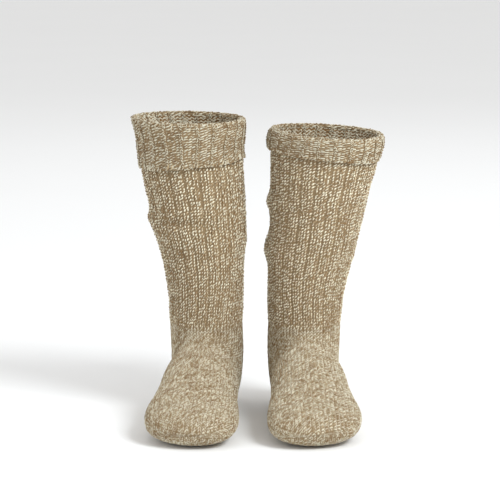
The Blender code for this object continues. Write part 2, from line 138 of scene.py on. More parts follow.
# Sections that turn about a line in front of the ankle, from level to upright. The higher
# square is, the flatter are a section's sole and sides, and a leg's sections are round.
TurnSection = namedtuple("TurnSection", "turn gap instep_side sole_side half_width square")
ROUND = 2.0
TURN = rows_of(
    TurnSection,
    (15.0, 14.7, 49.5, 41.4, 37.0, 2.0),
    (30.0, 15.3, 60.5, 50.1, 36.6, 2.05),
    (37.5, 15.7, 62.5, 55.3, 36.0, 2.15),
    (45.0, 16.0, 62.5, 50.9, 35.4, 2.25),
    (52.5, 16.3, 58.5, 41.2, 35.3, 2.3),
    (60.0, 16.7, 54.0, 35.5, 35.6, 2.4),
    (75.0, 17.3, 47.0, 30.9, 37.0, 2.5),
    (90.0, 18.0, 44.0, 30.0, 38.5, 2.6),
)

# Upright sections along the foot
FootSection = namedtuple("FootSection", "forward top widest bottom half_width inward square")
FOOT = rows_of(
    FootSection,
    (80.0, 62.0, 26.0, 0.0, 40.0, 0.5, 2.6),
    (105.0, 53.0, 23.0, 0.0, 43.0, 1.5, 2.6),
    (130.0, 44.5, 20.5, 0.0, 46.0, 2.0, 2.6),
    (150.0, 38.5, 18.5, 0.0, 45.5, 3.5, 2.5),
    (165.0, 33.5, 16.8, 0.2, 42.0, 5.0, 2.4),
    (175.0, 29.5, 15.3, 1.4, 36.0, 6.5, 2.2),
    (182.0, 25.3, 14.5, 3.8, 27.0, 8.0, 2.1),
    (187.0, 20.0, 13.8, 8.0, 15.0, 9.0, 2.0),
)

# Slack folds of the leg. facing turns from the front (0) to the outer side (90).
Fold = namedtuple("Fold", "height facing span half_height slant rise")
RIGHT_FOLDS = rows_of(
    Fold,
    (202.0, 88.0, 38.0, 6.0, -3.0, 2.3),
    (200.5, 22.0, 34.0, 5.0, -2.0, -1.7),
    (210.0, 15.0, 40.0, 6.0, -2.0, 1.3),
    (176.0, -60.0, 36.0, 6.5, 4.0, 1.5),
    (188.0, 165.0, 50.0, 6.5, 6.0, 2.0),
    (174.0, 195.0, 45.0, 6.0, -5.0, -1.5),
    (226.0, 215.0, 40.0, 7.0, 5.0, 1.2),
)
LEFT_FOLDS = rows_of(
    Fold,
    (217.5, -90.0, 38.0, 6.5, 3.0, 3.4),
    (169.0, -90.0, 44.0, 12.0, 4.0, 5.2),
    (213.0, -32.0, 42.0, 5.5, -11.0, -1.7),
    (186.0, 20.0, 46.0, 6.5, -6.0, 1.3),
    (196.0, 170.0, 50.0, 6.5, -6.0, 1.9),
    (178.0, 205.0, 46.0, 6.0, 5.0, -1.5),
    (160.0, 120.0, 40.0, 7.0, 4.0, 1.4),
)

# Small creases that only the cloth has
RIGHT_CREASES = rows_of(
    Fold,
    (238.0, 52.0, 24.0, 3.6, -3.0, -0.8),
    (229.0, -20.0, 26.0, 3.8, 4.0, 0.6),
    (193.0, 45.0, 20.0, 3.4, 2.0, 0.7),
    (165.0, 30.0, 30.0, 4.0, -3.0, -0.7),
    (214.0, 140.0, 24.0, 3.6, 3.0, -0.8),
    (200.0, -130.0, 28.0, 3.8, -4.0, 0.8),
    (200.5, 18.0, 30.0, 3.2, -1.5, -1.3),
    (211.0, 62.0, 22.0, 3.0, 2.0, -1.0),
    (261.0, -90.0, 36.0, 5.5, 0.0, 2.0),
)
LEFT_CREASES = rows_of(
    Fold,
    (231.0, -50.0, 24.0, 3.6, 3.0, -0.7),
    (224.0, 30.0, 22.0, 3.4, -3.0, 0.5),
    (199.0, -60.0, 30.0, 4.0, -3.0, -1.0),
    (180.0, -20.0, 26.0, 3.8, 4.0, -0.7),
    (240.0, 150.0, 26.0, 3.8, 3.0, 0.7),
    (206.0, -140.0, 28.0, 3.6, 3.0, -0.8),
    (214.0, -36.0, 30.0, 3.4, -10.0, -1.4),
    (196.0, -28.0, 20.0, 3.4, -4.0, -0.8),
    (252.0, 90.0, 36.0, 9.0, 0.0, 1.5),
)

# A bend of the cuff round one direction: how far it flares out or leans aside there
Bend = namedtuple("Bend", "facing span amount")

# side is +1 where the outer side faces +X
Sock = namedtuple(
    "Sock",
    "name side ankle_x toe_out legs folds rim rim_tilt rim_dip cuff_depth cuff_depth_tilt cuff_bulge"
    " flare lean seed",
)
RIGHT = Sock(
    name="right",
    side=-1,
    ankle_x=-46.0,
    toe_out=6.0,
    legs=RIGHT_LEG,
    folds=RIGHT_FOLDS + RIGHT_CREASES,
    rim=305.5,
    rim_tilt=1.0,
    rim_dip=1.2,
    cuff_depth=48.0,
    cuff_depth_tilt=6.0,
    cuff_bulge=0.3,
    flare=Bend(facing=28.0, span=26.0, amount=1.7),
    lean=Bend(facing=-48.0, span=36.0, amount=-0.085),
    seed=11,
)
LEFT = Sock(
    name="left",
    side=1,
    ankle_x=57.0,
    toe_out=4.0,
    legs=LEFT_LEG,
    folds=LEFT_FOLDS + LEFT_CREASES,
    rim=291.7,
    rim_tilt=-3.2,
    rim_dip=2.5,
    cuff_depth=26.5,
    cuff_depth_tilt=3.0,
    cuff_bulge=1.3,
    flare=Bend(facing=-20.0, span=38.0, amount=0.7),
    lean=Bend(facing=-34.0, span=22.0, amount=0.05),
    seed=23,
)
PAIR = (RIGHT, LEFT)


def sweep_table(sock):
    """Distances down the sweep, and each section's place, turn and reaches."""
    top = sock.legs[0].height
    distances = []
    rows = []
    for leg in sock.legs:
        half_width = (leg.lateral + leg.medial) / 2
        half_depth = (leg.front + leg.back) / 2
        offset = (leg.lateral - leg.medial) / 2
        middle = (leg.back - leg.front) / 2
        distances.append(top - leg.height)
        rows.append((offset, middle, leg.height, 0.0, half_width, half_depth, half_depth, ROUND))
    for part in TURN:
        turn = math.radians(part.turn)
        reach = part.gap + part.instep_side
        middle = -TURN_FORWARD + reach * math.cos(turn)
        height = ANKLE_HEIGHT - reach * math.sin(turn)
        step = math.hypot(middle - rows[-1][1], height - rows[-1][2])
        distances.append(distances[-1] + step)
        reaches = (part.half_width, part.instep_side, part.sole_side)
        rows.append((0.0, middle, height, turn, *reaches, part.square))
    for foot in FOOT:
        distances.append(distances[-1] + foot.forward + rows[-1][1])
        reaches = (foot.half_width, foot.top - foot.widest, foot.widest - foot.bottom)
        rows.append((-foot.inward, -foot.forward, foot.widest, math.pi / 2, *reaches, foot.square))
    return np.array(distances), np.array(rows)


SHORTEST = 1e-9


def unit(vectors):
    return vectors / np.maximum(np.linalg.norm(vectors, axis=-1, keepdims=True), SHORTEST)


def eased(share):
    share = np.clip(share, 0.0, 1.0)
    return share * share * (3 - 2 * share)


def paired(along, angle):
    """Both as arrays of one shape."""
    return np.broadcast_arrays(np.asarray(along, float), np.asarray(angle, float))


def from_facing(angle, facing, span):
    """Distance from a direction in degrees, the short way round, as a share of span."""
    away = np.degrees(angle) - facing
    return ((away + 180.0) % 360.0 - 180.0) / span


class Surface:
    """The smooth surface of one sock, halfway through its wall, for whole arrays of places."""

    PROBE = 0.5
    PROBE_TURN = math.radians(1.0)
    CAP_LENGTH = 9.0
    TIP_MARGIN = 0.01

    def __init__(self, sock):
        self.sock = sock
        self.distances, self.rows = sweep_table(sock)
        self.slopes = np.gradient(self.rows, self.distances, axis=0)
        leg_end = len(sock.legs) - 1
        heel_end = leg_end + sum(part.turn <= HEEL_END_TURN for part in TURN)
        foot_end = leg_end + len(TURN) + sum(part.forward <= TOE_START for part in FOOT)
        self.leg_end, self.heel_end, self.foot_end = self.distances[[leg_end, heel_end, foot_end]]
        self.last = self.distances[-1]
        self.tip = self.last + self.CAP_LENGTH

    def at_height(self, height):
        return self.sock.legs[0].height - height

    def section(self, distance):
        """Sections between the rows, on a smooth curve through them, closed by a rounded cap."""
        near = np.minimum(distance, self.last)
        i = np.clip(np.searchsorted(self.distances, near) - 1, 0, len(self.rows) - 2)
        gap = self.distances[i + 1] - self.distances[i]
        t = ((near - self.distances[i]) / gap)[..., None]
        gap = gap[..., None]
        here = (1 + 2 * t) * (1 - t) ** 2 * self.rows[i] + t * (1 - t) ** 2 * gap * self.slopes[i]
        there = t * t * (3 - 2 * t) * self.rows[i + 1] + t * t * (t - 1) * gap * self.slopes[i + 1]
        section = np.moveaxis(here + there, -1, 0).copy()
        shrink = 1 - np.clip((distance - self.last) / self.CAP_LENGTH, 0.0, 1.0)
        section[1] -= (TOE_TIP_FORWARD - FOOT[-1].forward) * (1 - shrink**2)
        section[4:7] *= shrink
        return section

    def plain(self, distance, angle):
        """Points on the surface with no folds. angle turns from the front to the outer side."""
        distance, angle = paired(distance, angle)
        offset, middle, height, turn, half_width, instep_side, sole_side, square = self.section(distance)
        across = np.sin(angle)
        along = np.cos(angle)
        power = 2 / square
        behind = along < 0
        across = np.where(behind, np.sign(across) * np.abs(across) ** power, across)
        along = np.where(behind, -(np.abs(along) ** power), along)
        reach = np.where(behind, sole_side, instep_side) * along
        outward = offset + half_width * across
        back = middle - reach * np.cos(turn)
        up = height + reach * np.sin(turn)
        share = eased((TURN_TOP - height) / (TURN_TOP - ANKLE_HEIGHT))
        twist = math.radians(self.sock.toe_out) * share
        aside = outward * np.cos(twist) - back * np.sin(twist)
        deep = outward * np.sin(twist) + back * np.cos(twist)
        return np.stack([self.sock.ankle_x + self.sock.side * aside, deep, up], axis=-1)

    def normal(self, distance, angle):
        """Directions out of the wall, which are level down the leg."""
        before = np.maximum(distance - self.PROBE, 0.0)
        after = np.minimum(distance + self.PROBE, self.tip - self.TIP_MARGIN)
        down = self.plain(after, angle) - self.plain(before, angle)
        right = self.plain(distance, angle + self.PROBE_TURN)
        around = right - self.plain(distance, angle - self.PROBE_TURN)
        out = np.cross(around, down) * -self.sock.side
        out[..., 2] = np.where(distance <= self.leg_end, 0.0, out[..., 2])
        return unit(out)

    def fold_rise(self, distance, angle):
        """How far the slack folds and creases lift the leg's wall."""
        height = self.sock.legs[0].height - distance
        rise = np.zeros(np.broadcast(distance, angle).shape)
        for fold in self.sock.folds:
            share = from_facing(angle, fold.facing, fold.span)
            above = (height - fold.height + fold.slant * share) / fold.half_height
            rise = rise + fold.rise * np.exp(-share * share - above * above)
        return np.where(distance < self.leg_end, rise, 0.0)

    def point(self, distance, angle, lift):
        """Points of the wall, lift millimetres out of the smooth surface."""
        distance, angle = paired(distance, angle)
        lift = lift + self.fold_rise(distance, angle)
        return self.plain(distance, angle) + self.normal(distance, angle) * lift[..., None]


SURFACES = {sock.name: Surface(sock) for sock in PAIR}


def place(points):
    """Millimetres above the soles to the frame's metres."""
    surface = SURFACES["right"]
    offset = surface.section(np.array(surface.at_height(GRIP_HEIGHT)))[0]
    grip = np.array([RIGHT.ankle_x - float(offset), GRIP_BACK, GRIP_HEIGHT])
    return (points - grip) * MM


def rim_dip(sock, angle):
    """How far the rim sags at the front, a little to the outer side."""
    return sock.rim_dip * eased(np.cos(angle - RIM_DIP_FACING))


def rim_height(sock, angle):
    return sock.rim + sock.rim_tilt * np.sin(angle) - rim_dip(sock, angle)


def cuff_depth(sock, angle):
    return sock.cuff_depth + sock.cuff_depth_tilt * np.sin(angle) - rim_dip(sock, angle)


# A slow wave of the knit that closes all round, and what its quicker share differs in.
# size is in radians where it moves the knit aside, and otherwise in millimetres.
Wave = namedtuple("Wave", "size turns period phase")
SLOW_SHARE = 0.65
QUICK_SHARE = 0.35
QUICK_TURNS = 3
QUICK_PERIOD = 0.43
QUICK_PHASE = 2.1


def wander(sock, angle, height, wave):
    """The wave at a place, as a share of its size from -1 to 1."""
    slow = np.sin(wave.turns * angle + height / wave.period + wave.phase + sock.seed)
    across = (wave.turns + QUICK_TURNS) * angle
    quick = np.sin(across - height / (QUICK_PERIOD * wave.period) + QUICK_PHASE * wave.phase + sock.seed)
    return SLOW_SHARE * slow + QUICK_SHARE * quick


# The wales of one rib repeat, as shares of its pitch. The legs' face has two knit ones
# and a groove. The back has bumps, with a low middle one, and an upright wale.
RIB_PITCH = FULL_TURN / RIB_COUNT
Wale = namedtuple("Wale", "centre width kind")
LEG_WALES = rows_of(
    Wale,
    (-0.222, 0.445, "knit"),
    (0.222, 0.445, "knit"),
    (0.5, 0.14, "groove"),
)
BACK_WALES = rows_of(
    Wale,
    (-0.25, 0.25, "bump"),
    (0.0, 0.25, "low bump"),
    (0.25, 0.25, "bump"),
    (0.5, 0.25, "wale"),
)
LEG_COLUMNS = RIB_COUNT * len(LEG_WALES)
HALF_COLUMNS = LEG_COLUMNS // 2
BACK_COLUMNS = RIB_COUNT * len(BACK_WALES)

# Slopes of a rib and of an upright wale, as shares of the pitch
RIB_SLOPE = 0.22
WALE_START = 0.33
WALE_SLOPE = 0.1


def away_from_rib(angle):
    """Distance from the middle of the nearest rib, in rib pitches, up to 0.5 in a groove."""
    return np.abs((angle / RIB_PITCH + 0.5) % 1.0 - 0.5)


def rib_profile(angle):
    return eased((0.5 - away_from_rib(angle)) / RIB_SLOPE)


def wale_profile(angle):
    return eased((away_from_rib(angle) - WALE_START) / WALE_SLOPE)


class Cloth:
    """A stretch of cloth. points() takes places along it and round it, in millimetres
    down the sweep and radians, and gives the face that its yarn is laid on. inner()
    gives the face behind. outward is the sign that turns the product of the ways across
    and down a stitch out of the face that the yarn is on."""

    YARN_SIDE = -1

    def __init__(self, sock):
        self.sock = sock
        self.surface = SURFACES[sock.name]
        self.outward = self.YARN_SIDE * sock.side

    def faces(self):
        return self.points, self.inner

    def drift(self, wave, share, angle, height):
        """How far a share of the wave moves the knit there."""
        return wave.size * share * wander(self.sock, angle, height, wave)


class LegCloth(Cloth):
    """The ribbed tube. Its ribs flatten out above the ankle, where plain knit begins."""

    ASIDE = Wave(size=0.014, turns=3, period=19.0, phase=0.4)
    DOWN = Wave(size=0.8, turns=2, period=27.0, phase=1.7)
    RIM_REACH = 20.0

    def __init__(self, sock):
        super().__init__(sock)
        self.top = self.surface.at_height(sock.rim - FOLD_HEIGHT - SEAM_GAP)

    def to_rim(self, along, angle):
        """Places moved up or down near the top, so that the tube ends along the rim."""
        share = 1 - eased((along - self.top) / self.RIM_REACH)
        return along - share * (rim_height(self.sock, angle) - self.sock.rim)

    def points(self, along, angle):
        along, angle = paired(along, angle)
        along = self.to_rim(along, angle)
        height = self.sock.legs[0].height - along
        fade = np.clip((height - ANKLE_HEIGHT) / RIB_FADE, 0.0, 1.0)
        face = WALL_OUTSIDE + PLAIN_RISE * (1 - fade) + RIB_RISE * fade * rib_profile(angle)
        aside = self.drift(self.ASIDE, fade, angle, height)
        down = self.drift(self.DOWN, fade, angle, height)
        return self.surface.point(along + down, angle + aside, face - YARN_CROWN)

    def inner(self, along, angle):
        return self.surface.point(self.to_rim(along, angle), angle, -WALL_INSIDE)


class LiningCloth(Cloth):
    """The back of the rib, seen through the sock's mouth. Its places count down from the rim."""

    YARN_SIDE = 1
    ASIDE = Wave(size=0.022, turns=3, period=12.0, phase=3.3)
    DOWN = Wave(size=1.1, turns=4, period=15.0, phase=0.6)
    SINK = 0.25
    GROOVE = 0.5

    def points(self, along, angle):
        along, angle = paired(along, angle)
        height = rim_height(self.sock, angle) - along
        groove = self.GROOVE * (1 - rib_profile(angle))
        aside = self.drift(self.ASIDE, 1, angle, height)
        down = self.drift(self.DOWN, 1, angle, height)
        lift = -WALL_INSIDE + self.SINK - groove
        return self.surface.point(self.surface.at_height(height) + down, angle + aside, lift)


class FootCloth(Cloth):
    """Plain knit over heel, foot and toe."""

    TIP_MARGIN = 0.05

    def face(self, along, angle, lift):
        return self.surface.point(np.minimum(along, self.surface.tip - self.TIP_MARGIN), angle, lift)

    def points(self, along, angle):
        return self.face(along, angle, WALL_OUTSIDE + PLAIN_RISE - YARN_CROWN)

    def inner(self, along, angle):
        return self.face(along, angle, -WALL_INSIDE)


# The cuff's section, from inside the hollow over the fold, down to the lower edge and
# up behind. share counts down the layer that is turned down, drop is millimetres below.
CuffStep = namedtuple("CuffStep", "share drop lift bulge wale")
CUFF = rows_of(
    CuffStep,
    (0.0, 4.0, -0.9, 0.0, 0.0),
    (0.0, 2.4, -0.9, 0.0, 0.0),
    (0.0, 1.2, -0.1, 0.0, 0.0),
    (0.0, 0.8, 1.5, 0.0, 0.0),
    (0.0, 1.7, 3.0, 0.0, 0.4),
    (0.15, 1.5, 3.5, 0.5, 1.0),
    (0.45, 0.0, 3.5, 1.0, 1.0),
    (0.75, 0.0, 3.5, 0.7, 1.0),
    (1.0, -1.8, 3.5, 0.2, 1.0),
    (1.0, -0.7, 3.1, 0.0, 0.3),
    (1.0, -0.7, 2.6, 0.0, 0.0),
    (1.0, -1.8, 2.2, 0.0, 0.0),
    (0.65, 0.0, 2.2, 0.0, 0.0),
    (0.3, 0.0, 2.2, 0.0, 0.0),
    (0.0, 4.0, 2.2, 0.0, 0.0),
)

# Where the yarn lies on the cuff, in steps of its section, and how high the chain along
# the lower edge starts, in millimetres
CUFF_YARN = (0.3, 8.0)
CUFF_RIM = (3.1, 4.8)
CUFF_EDGE_END = 9.3
CUFF_EDGE_HEIGHT = 2.2


class CuffCloth(Cloth):
    """The fold at the rim and the layer turned down, which shows the back of the rib."""

    ASIDE = Wave(size=0.02, turns=3, period=14.0, phase=5.1)
    DOWN = Wave(size=0.5, turns=5, period=30.0, phase=0.8)
    FACE = Wave(size=0.35, turns=4, period=11.0, phase=2.9)
    LEAN_HEIGHT = 24.0
    FLARE_START = 0.6

    def faces(self):
        return (self.points,)

    def section(self, along):
        """The section's steps, on a smooth curve through them that closes at its end."""
        rows = np.array([tuple(step) for step in CUFF])
        first = np.floor(along).astype(int)
        t = (along - first)[..., None]
        a, b, c, d = (rows[(first + shift) % len(rows)] for shift in (-1, 0, 1, 2))
        blend = 2 * b + (c - a) * t + (2 * a - 5 * b + 4 * c - d) * t**2
        blend = (blend + (3 * b - a - 3 * c + d) * t**3) / 2
        return np.moveaxis(blend, -1, 0)

    def points(self, along, angle):
        """along counts the steps of the section."""
        along, angle = paired(along, angle)
        share, drop, lift, bulge, wale = self.section(along)
        rim = rim_height(self.sock, angle)
        height = rim - share * cuff_depth(self.sock, angle) - drop
        lift = lift + bulge * self.sock.cuff_bulge + CUFF_WALE_RISE * wale * wale_profile(angle)
        lift = lift + self.drift(self.FACE, wale, angle, height)
        flare, lean = self.sock.flare, self.sock.lean
        near_flare = np.exp(-(from_facing(angle, flare.facing, flare.span) ** 2))
        lift = lift + flare.amount * near_flare * eased((share - self.FLARE_START) / (1 - self.FLARE_START))
        near_lean = np.exp(-(from_facing(angle, lean.facing, lean.span) ** 2))
        lean_share = eased((height - rim + self.LEAN_HEIGHT) / self.LEAN_HEIGHT)
        height = height + self.drift(self.DOWN, share, angle, height)
        aside = self.drift(self.ASIDE, wale, angle, height) + lean.amount * near_lean * lean_share * wale
        return self.surface.point(self.surface.at_height(height), angle + aside, lift)


# Strands of yarn. Each is a short closed rod of four sides whose two ends are tucked
# under its neighbours. x and y are shares of a stitch, across it and down it, and the
# rest is millimetres.
Strand = namedtuple("Strand", "x y height half_width thickness")
SIMPLE_STATIONS = (0, 1, 3, 4)


def arch(end, shoulder, middle):
    """The five values of a strand that is the same towards both its ends."""
    return (end, shoulder, middle, shoulder, end)


def simpler(strand):
    """The same strand with two rings in place of three."""
    return Strand(*(tuple(values[i] for i in SIMPLE_STATIONS) for values in strand))


def mirrored(strand):
    """The same strand leaning the other way."""
    return strand._replace(x=tuple(-value for value in strand.x))


KNIT_LEFT = Strand(
    x=(0.3, 0.14, -0.1, -0.33, -0.48),
    y=(-0.6, -0.4, 0.0, 0.4, 0.62),
    height=(-0.4, 0.12, 0.32, 0.1, -0.45),
    half_width=(0.0, 0.7, 0.87, 0.67, 0.0),
    thickness=(0.0, 0.66, 0.82, 0.64, 0.0),
)
KNIT_RIGHT = Strand(
    x=(0.04, 0.16, 0.31, 0.4, 0.46),
    y=(-0.5, -0.28, 0.06, 0.38, 0.6),
    height=(-0.5, -0.08, 0.06, -0.1, -0.55),
    half_width=(0.0, 0.52, 0.61, 0.48, 0.0),
    thickness=(0.0, 0.52, 0.6, 0.5, 0.0),
)
RIB_LEADING = Strand(
    x=(0.43, 0.36, 0.25, 0.14, 0.07),
    y=(-0.47, -0.28, 0.0, 0.28, 0.47),
    height=arch(-0.45, 0.12, 0.34),
    half_width=arch(0.0, 0.7, 0.86),
    thickness=arch(0.0, 0.66, 0.84),
)
RIB_FOLLOWING = Strand(
    x=(-0.08, -0.15, -0.25, -0.36, -0.43),
    y=(-0.38, -0.18, 0.1, 0.38, 0.57),
    height=arch(-0.45, 0.1, 0.3),
    half_width=arch(0.0, 0.68, 0.84),
    thickness=arch(0.0, 0.64, 0.82),
)
RIB_GROOVE = Strand(
    x=(-0.95, -0.5, 0.0, 0.5, 0.95),
    y=(0.3, 0.06, -0.06, -0.12, -0.2),
    height=arch(-0.65, -0.4, -0.35),
    half_width=arch(0.0, 0.5, 0.6),
    thickness=arch(0.0, 0.6, 0.7),
)
BUMP = Strand(
    x=(-0.68, -0.4, 0.0, 0.4, 0.68),
    y=(0.14, -0.14, -0.34, -0.48, -0.46),
    height=arch(-0.75, 0.0, 0.24),
    half_width=arch(0.0, 0.84, 1.04),
    thickness=arch(0.0, 0.66, 0.82),
)
LOW_BUMP = Strand(
    x=(-0.7, -0.4, 0.0, 0.4, 0.7),
    y=(0.5, 0.46, 0.3, 0.1, -0.12),
    height=arch(-0.8, -0.05, 0.16),
    half_width=arch(0.0, 0.76, 0.94),
    thickness=arch(0.0, 0.64, 0.8),
)
WALE_LEFT = Strand(
    x=(0.06, -0.08, -0.2, -0.3, -0.36),
    y=(-0.58, -0.34, 0.0, 0.34, 0.58),
    height=(-0.85, -0.1, 0.2, -0.1, -0.9),
    half_width=arch(0.0, 0.6, 0.72),
    thickness=(0.0, 0.7, 0.85, 0.66, 0.0),
)
WALE_RIGHT = mirrored(WALE_LEFT)
EDGE_CHAIN = Strand(
    x=(-0.66, -0.4, 0.0, 0.4, 0.7),
    y=(0.5, 0.34, 0.0, -0.32, -0.5),
    height=arch(-0.7, 0.0, 0.3),
    half_width=arch(0.0, 0.8, 1.0),
    thickness=arch(0.0, 0.75, 0.95),
)
RIM_LOOP = Strand(
    x=(-0.5, -0.3, 0.0, 0.3, 0.52),
    y=(0.5, 0.3, 0.0, -0.3, -0.5),
    height=arch(-0.8, -0.2, 0.05),
    half_width=arch(0.0, 0.6, 0.75),
    thickness=arch(0.0, 0.6, 0.75),
)
BACK_STRANDS = {"bump": (BUMP,), "low bump": (LOW_BUMP,), "wale": (WALE_LEFT, WALE_RIGHT)}
CHAIN_STRANDS = {"edge": (EDGE_CHAIN,), "rim": (RIM_LOOP,)}
LEG_STRANDS = {"knit": (RIB_LEADING, RIB_FOLLOWING), "groove": (simpler(RIB_GROOVE),)}
LINING_STRANDS = {kind: tuple(map(simpler, limbs)) for kind, limbs in BACK_STRANDS.items()}
PLAIN_STRANDS = {"knit": (simpler(KNIT_LEFT), simpler(KNIT_RIGHT))}

# The points of a rod round its path: how far aside and up, and their place on the map
RING = ((-1.0, 0.0, 0.08), (-0.5, 0.88, 0.3), (0.5, 0.88, 0.7), (1.0, 0.0, 0.92))


def strand_points(strand, width, pitch):
    """A strand's points about the middle of a stitch of this size, with their map places."""
    x, y, height, half_width, thickness = (np.array(values) for values in strand)
    path = np.stack([x * width, y * pitch], axis=1)
    ahead = unit(np.gradient(path, axis=0))
    side = np.stack([ahead[:, 1] / width, -ahead[:, 0] / pitch], axis=1)
    last = len(x) - 1
    points = [(x[0], y[0], height[0])]
    mapped = [(0.5, 0.0)]
    for i in range(1, last):
        for aside, up, u in RING:
            reach = side[i] * half_width[i] * aside
            points.append((x[i] + reach[0], y[i] + reach[1], height[i] + thickness[i] * up))
            mapped.append((u, i / last))
    points.append((x[last], y[last], height[last]))
    mapped.append((0.5, 1.0))
    return np.array(points), np.array(mapped)


def strand_faces(stations):
    """The strand's faces by point number, with four corners and with three."""
    size = len(RING)
    rings = [range(1 + size * i, 1 + size * (i + 1)) for i in range(stations - 2)]
    last = size * (stations - 2) + 1
    quads = []
    triangles = []
    for a, b in zip(range(-1, size - 1), range(size)):
        triangles.append((0, rings[0][b], rings[0][a]))
        for ring, after in zip(rings, rings[1:]):
            quads.append((ring[a], ring[b], after[b], after[a]))
        triangles.append((last, rings[-1][a], rings[-1][b]))
    return np.array(quads), np.array(triangles)


# Stitches: where each is along its wale, how far it reaches, and its number on the map
Cells = namedtuple("Cells", "along step left right lean column row kind")
PLAIN_ROW = 3.0
RIB_SAMPLES = 160
PLAIN_SAMPLES = 200
TOE_SAMPLES = 160

# A column of a rib drifts by up to this share of a row, less near its ends
COLUMN_DRIFT = 0.3
DRIFT_TAPER = 5.0


def joined_cells(parts):
    return Cells(*(np.concatenate(values) for values in zip(*parts)))


def chain_cells(cloth, samples, left, right, column, kind, count=None):
    """Stitches of one wale, evenly along its length on the cloth."""
    middle = (left + right) / 2
    points = cloth.points(samples, middle)
    steps = np.linalg.norm(np.diff(points, axis=0), axis=1)
    length = np.concatenate([[0.0], np.cumsum(steps)])
    if count is None:
        count = max(1, round(length[-1] / PLAIN_ROW))
    edges = np.interp(np.linspace(0.0, length[-1], count + 1), length, samples)
    along = (edges[:-1] + edges[1:]) / 2
    return Cells(
        along=along,
        step=np.diff(edges),
        left=np.interp(along, samples, left),
        right=np.interp(along, samples, right),
        lean=np.interp(along, samples, np.gradient(middle, samples)),
        column=np.full(count, column),
        row=np.arange(count),
        kind=np.full(count, kind),
    )


def upright_cells(cloth, samples, left, right, column, kind, count=None):
    """Stitches of one wale between two directions."""
    edges = (np.full(len(samples), left), np.full(len(samples), right))
    return chain_cells(cloth, samples, *edges, column, kind, count)


def rib_cells(cloth, lay, ends, count):
    """Stitches of a whole rib tube. Between its ends each column drifts by part of a row."""
    along = np.linspace(*ends, RIB_SAMPLES)
    shares = (np.arange(count) + 0.5) / count
    room = np.minimum(1.0, DRIFT_TAPER * np.minimum(shares, 1.0 - shares))
    rng = np.random.default_rng(cloth.sock.seed + lay.drift_seed)
    parts = []
    for column in range(RIB_COUNT * len(lay.wales)):
        rib, number = divmod(column, len(lay.wales))
        wale = lay.wales[number]
        middle = (rib + wale.centre) * RIB_PITCH
        half = wale.width * RIB_PITCH / 2
        cells = upright_cells(cloth, along, middle - half, middle + half, column, wale.kind, count)
        drift = rng.uniform(-COLUMN_DRIFT, COLUMN_DRIFT) * room * cells.step
        parts.append(cells._replace(along=cells.along + drift))
    return joined_cells(parts)


def plain_cells(cloth, turn, ends):
    """Wales of plain knit side by side between two angles, each with its own even stitches."""
    edges = np.linspace(*turn, HALF_COLUMNS + 1)
    along = np.linspace(*ends, PLAIN_SAMPLES)
    pairs = enumerate(zip(edges, edges[1:]))
    return joined_cells([upright_cells(cloth, along, *pair, column, "knit") for column, pair in pairs])


# How unlike each other the strands are: their shift across, down and out, as shares of a
# stitch and in millimetres, their growth and their slant
SHIFT_CHANCE = (0.035, 0.07, 0.09)
SWELL_CHANCE = 0.11
SLANT_CHANCE = 0.09
CHANCE_LIMIT = 1.8
HEIGHT_SWELL = 0.6

# Each column has room for two limbs on the map, with a free share at each end of a strand
LIMBS = 2
STRAND_MARGIN = 0.04


def yarn_mesh(name, cloth, lay, cells, rows, columns, unevenness):
    """One mesh of all the strands laid on a stretch of cloth."""
    middle = (cells.left + cells.right) / 2
    half = cells.step / 2
    centre = cloth.points(cells.along, middle)
    across = cloth.points(cells.along, cells.right) - cloth.points(cells.along, cells.left)
    after = cloth.points(cells.along + half, middle + cells.lean * half)
    before = cloth.points(cells.along - half, middle - cells.lean * half)
    down = after - before
    bend = 2 * (after + before - 2 * centre)
    out = unit(np.cross(across, down)) * cloth.outward
    rng = np.random.default_rng(cloth.sock.seed + lay.seed)
    laid = ([], [], [], [])
    start = 0
    for kind, limbs in lay.strands.items():
        chosen = np.flatnonzero(cells.kind == kind)
        width = np.linalg.norm(across[chosen], axis=1).mean()
        pitch = np.linalg.norm(down[chosen], axis=1).mean()
        for limb, strand in enumerate(limbs):
            shown = mirrored(strand) if cloth.outward > 0 else strand
            points, mapped = strand_points(shown, width, pitch)
            chance = rng.normal(0.0, 1.0, (len(chosen), 5))
            chance = np.clip(chance, -CHANCE_LIMIT, CHANCE_LIMIT) * (lay.unevenness * unevenness)
            shift = chance[:, :3] * SHIFT_CHANCE
            swell = 1.0 + SWELL_CHANCE * chance[:, 3:4]
            slant = SLANT_CHANCE * chance[:, 4:]
            middle_x = points[:, 0].mean()
            x = middle_x + (points[:, 0] - middle_x) * swell + shift[:, :1] + slant * points[:, 1]
            y = points[:, 1] + shift[:, 1:2]
            z = points[:, 2] * (1 - HEIGHT_SWELL + HEIGHT_SWELL * swell) + shift[:, 2:]
            here = centre[chosen, None] + across[chosen, None] * x[..., None]
            here = here + down[chosen, None] * y[..., None] + bend[chosen, None] * y[..., None] ** 2
            here = here + out[chosen, None] * z[..., None]
            u = (cells.column[chosen, None] * LIMBS + limb + mapped[:, 0]) / (LIMBS * columns)
            v = cells.row[chosen, None] + STRAND_MARGIN + (1 - 2 * STRAND_MARGIN) * mapped[:, 1]
            offset = start + np.arange(len(chosen))[:, None, None] * len(points)
            quads, triangles = strand_faces(len(strand.x))
            laid[0].append(here.reshape(-1, 3))
            laid[1].append(np.stack([u, v / rows], axis=-1).reshape(-1, 2))
            laid[2].append((quads + offset).reshape(-1, 4))
            laid[3].append((triangles + offset).reshape(-1, 3))
            start += len(chosen) * len(points)
    vertices, maps, quads, triangles = map(np.concatenate, laid)
    if cloth.outward < 0:
        quads, triangles = quads[:, ::-1], triangles[:, ::-1]
    return mesh_from_arrays(name, place(vertices), maps, quads, triangles)


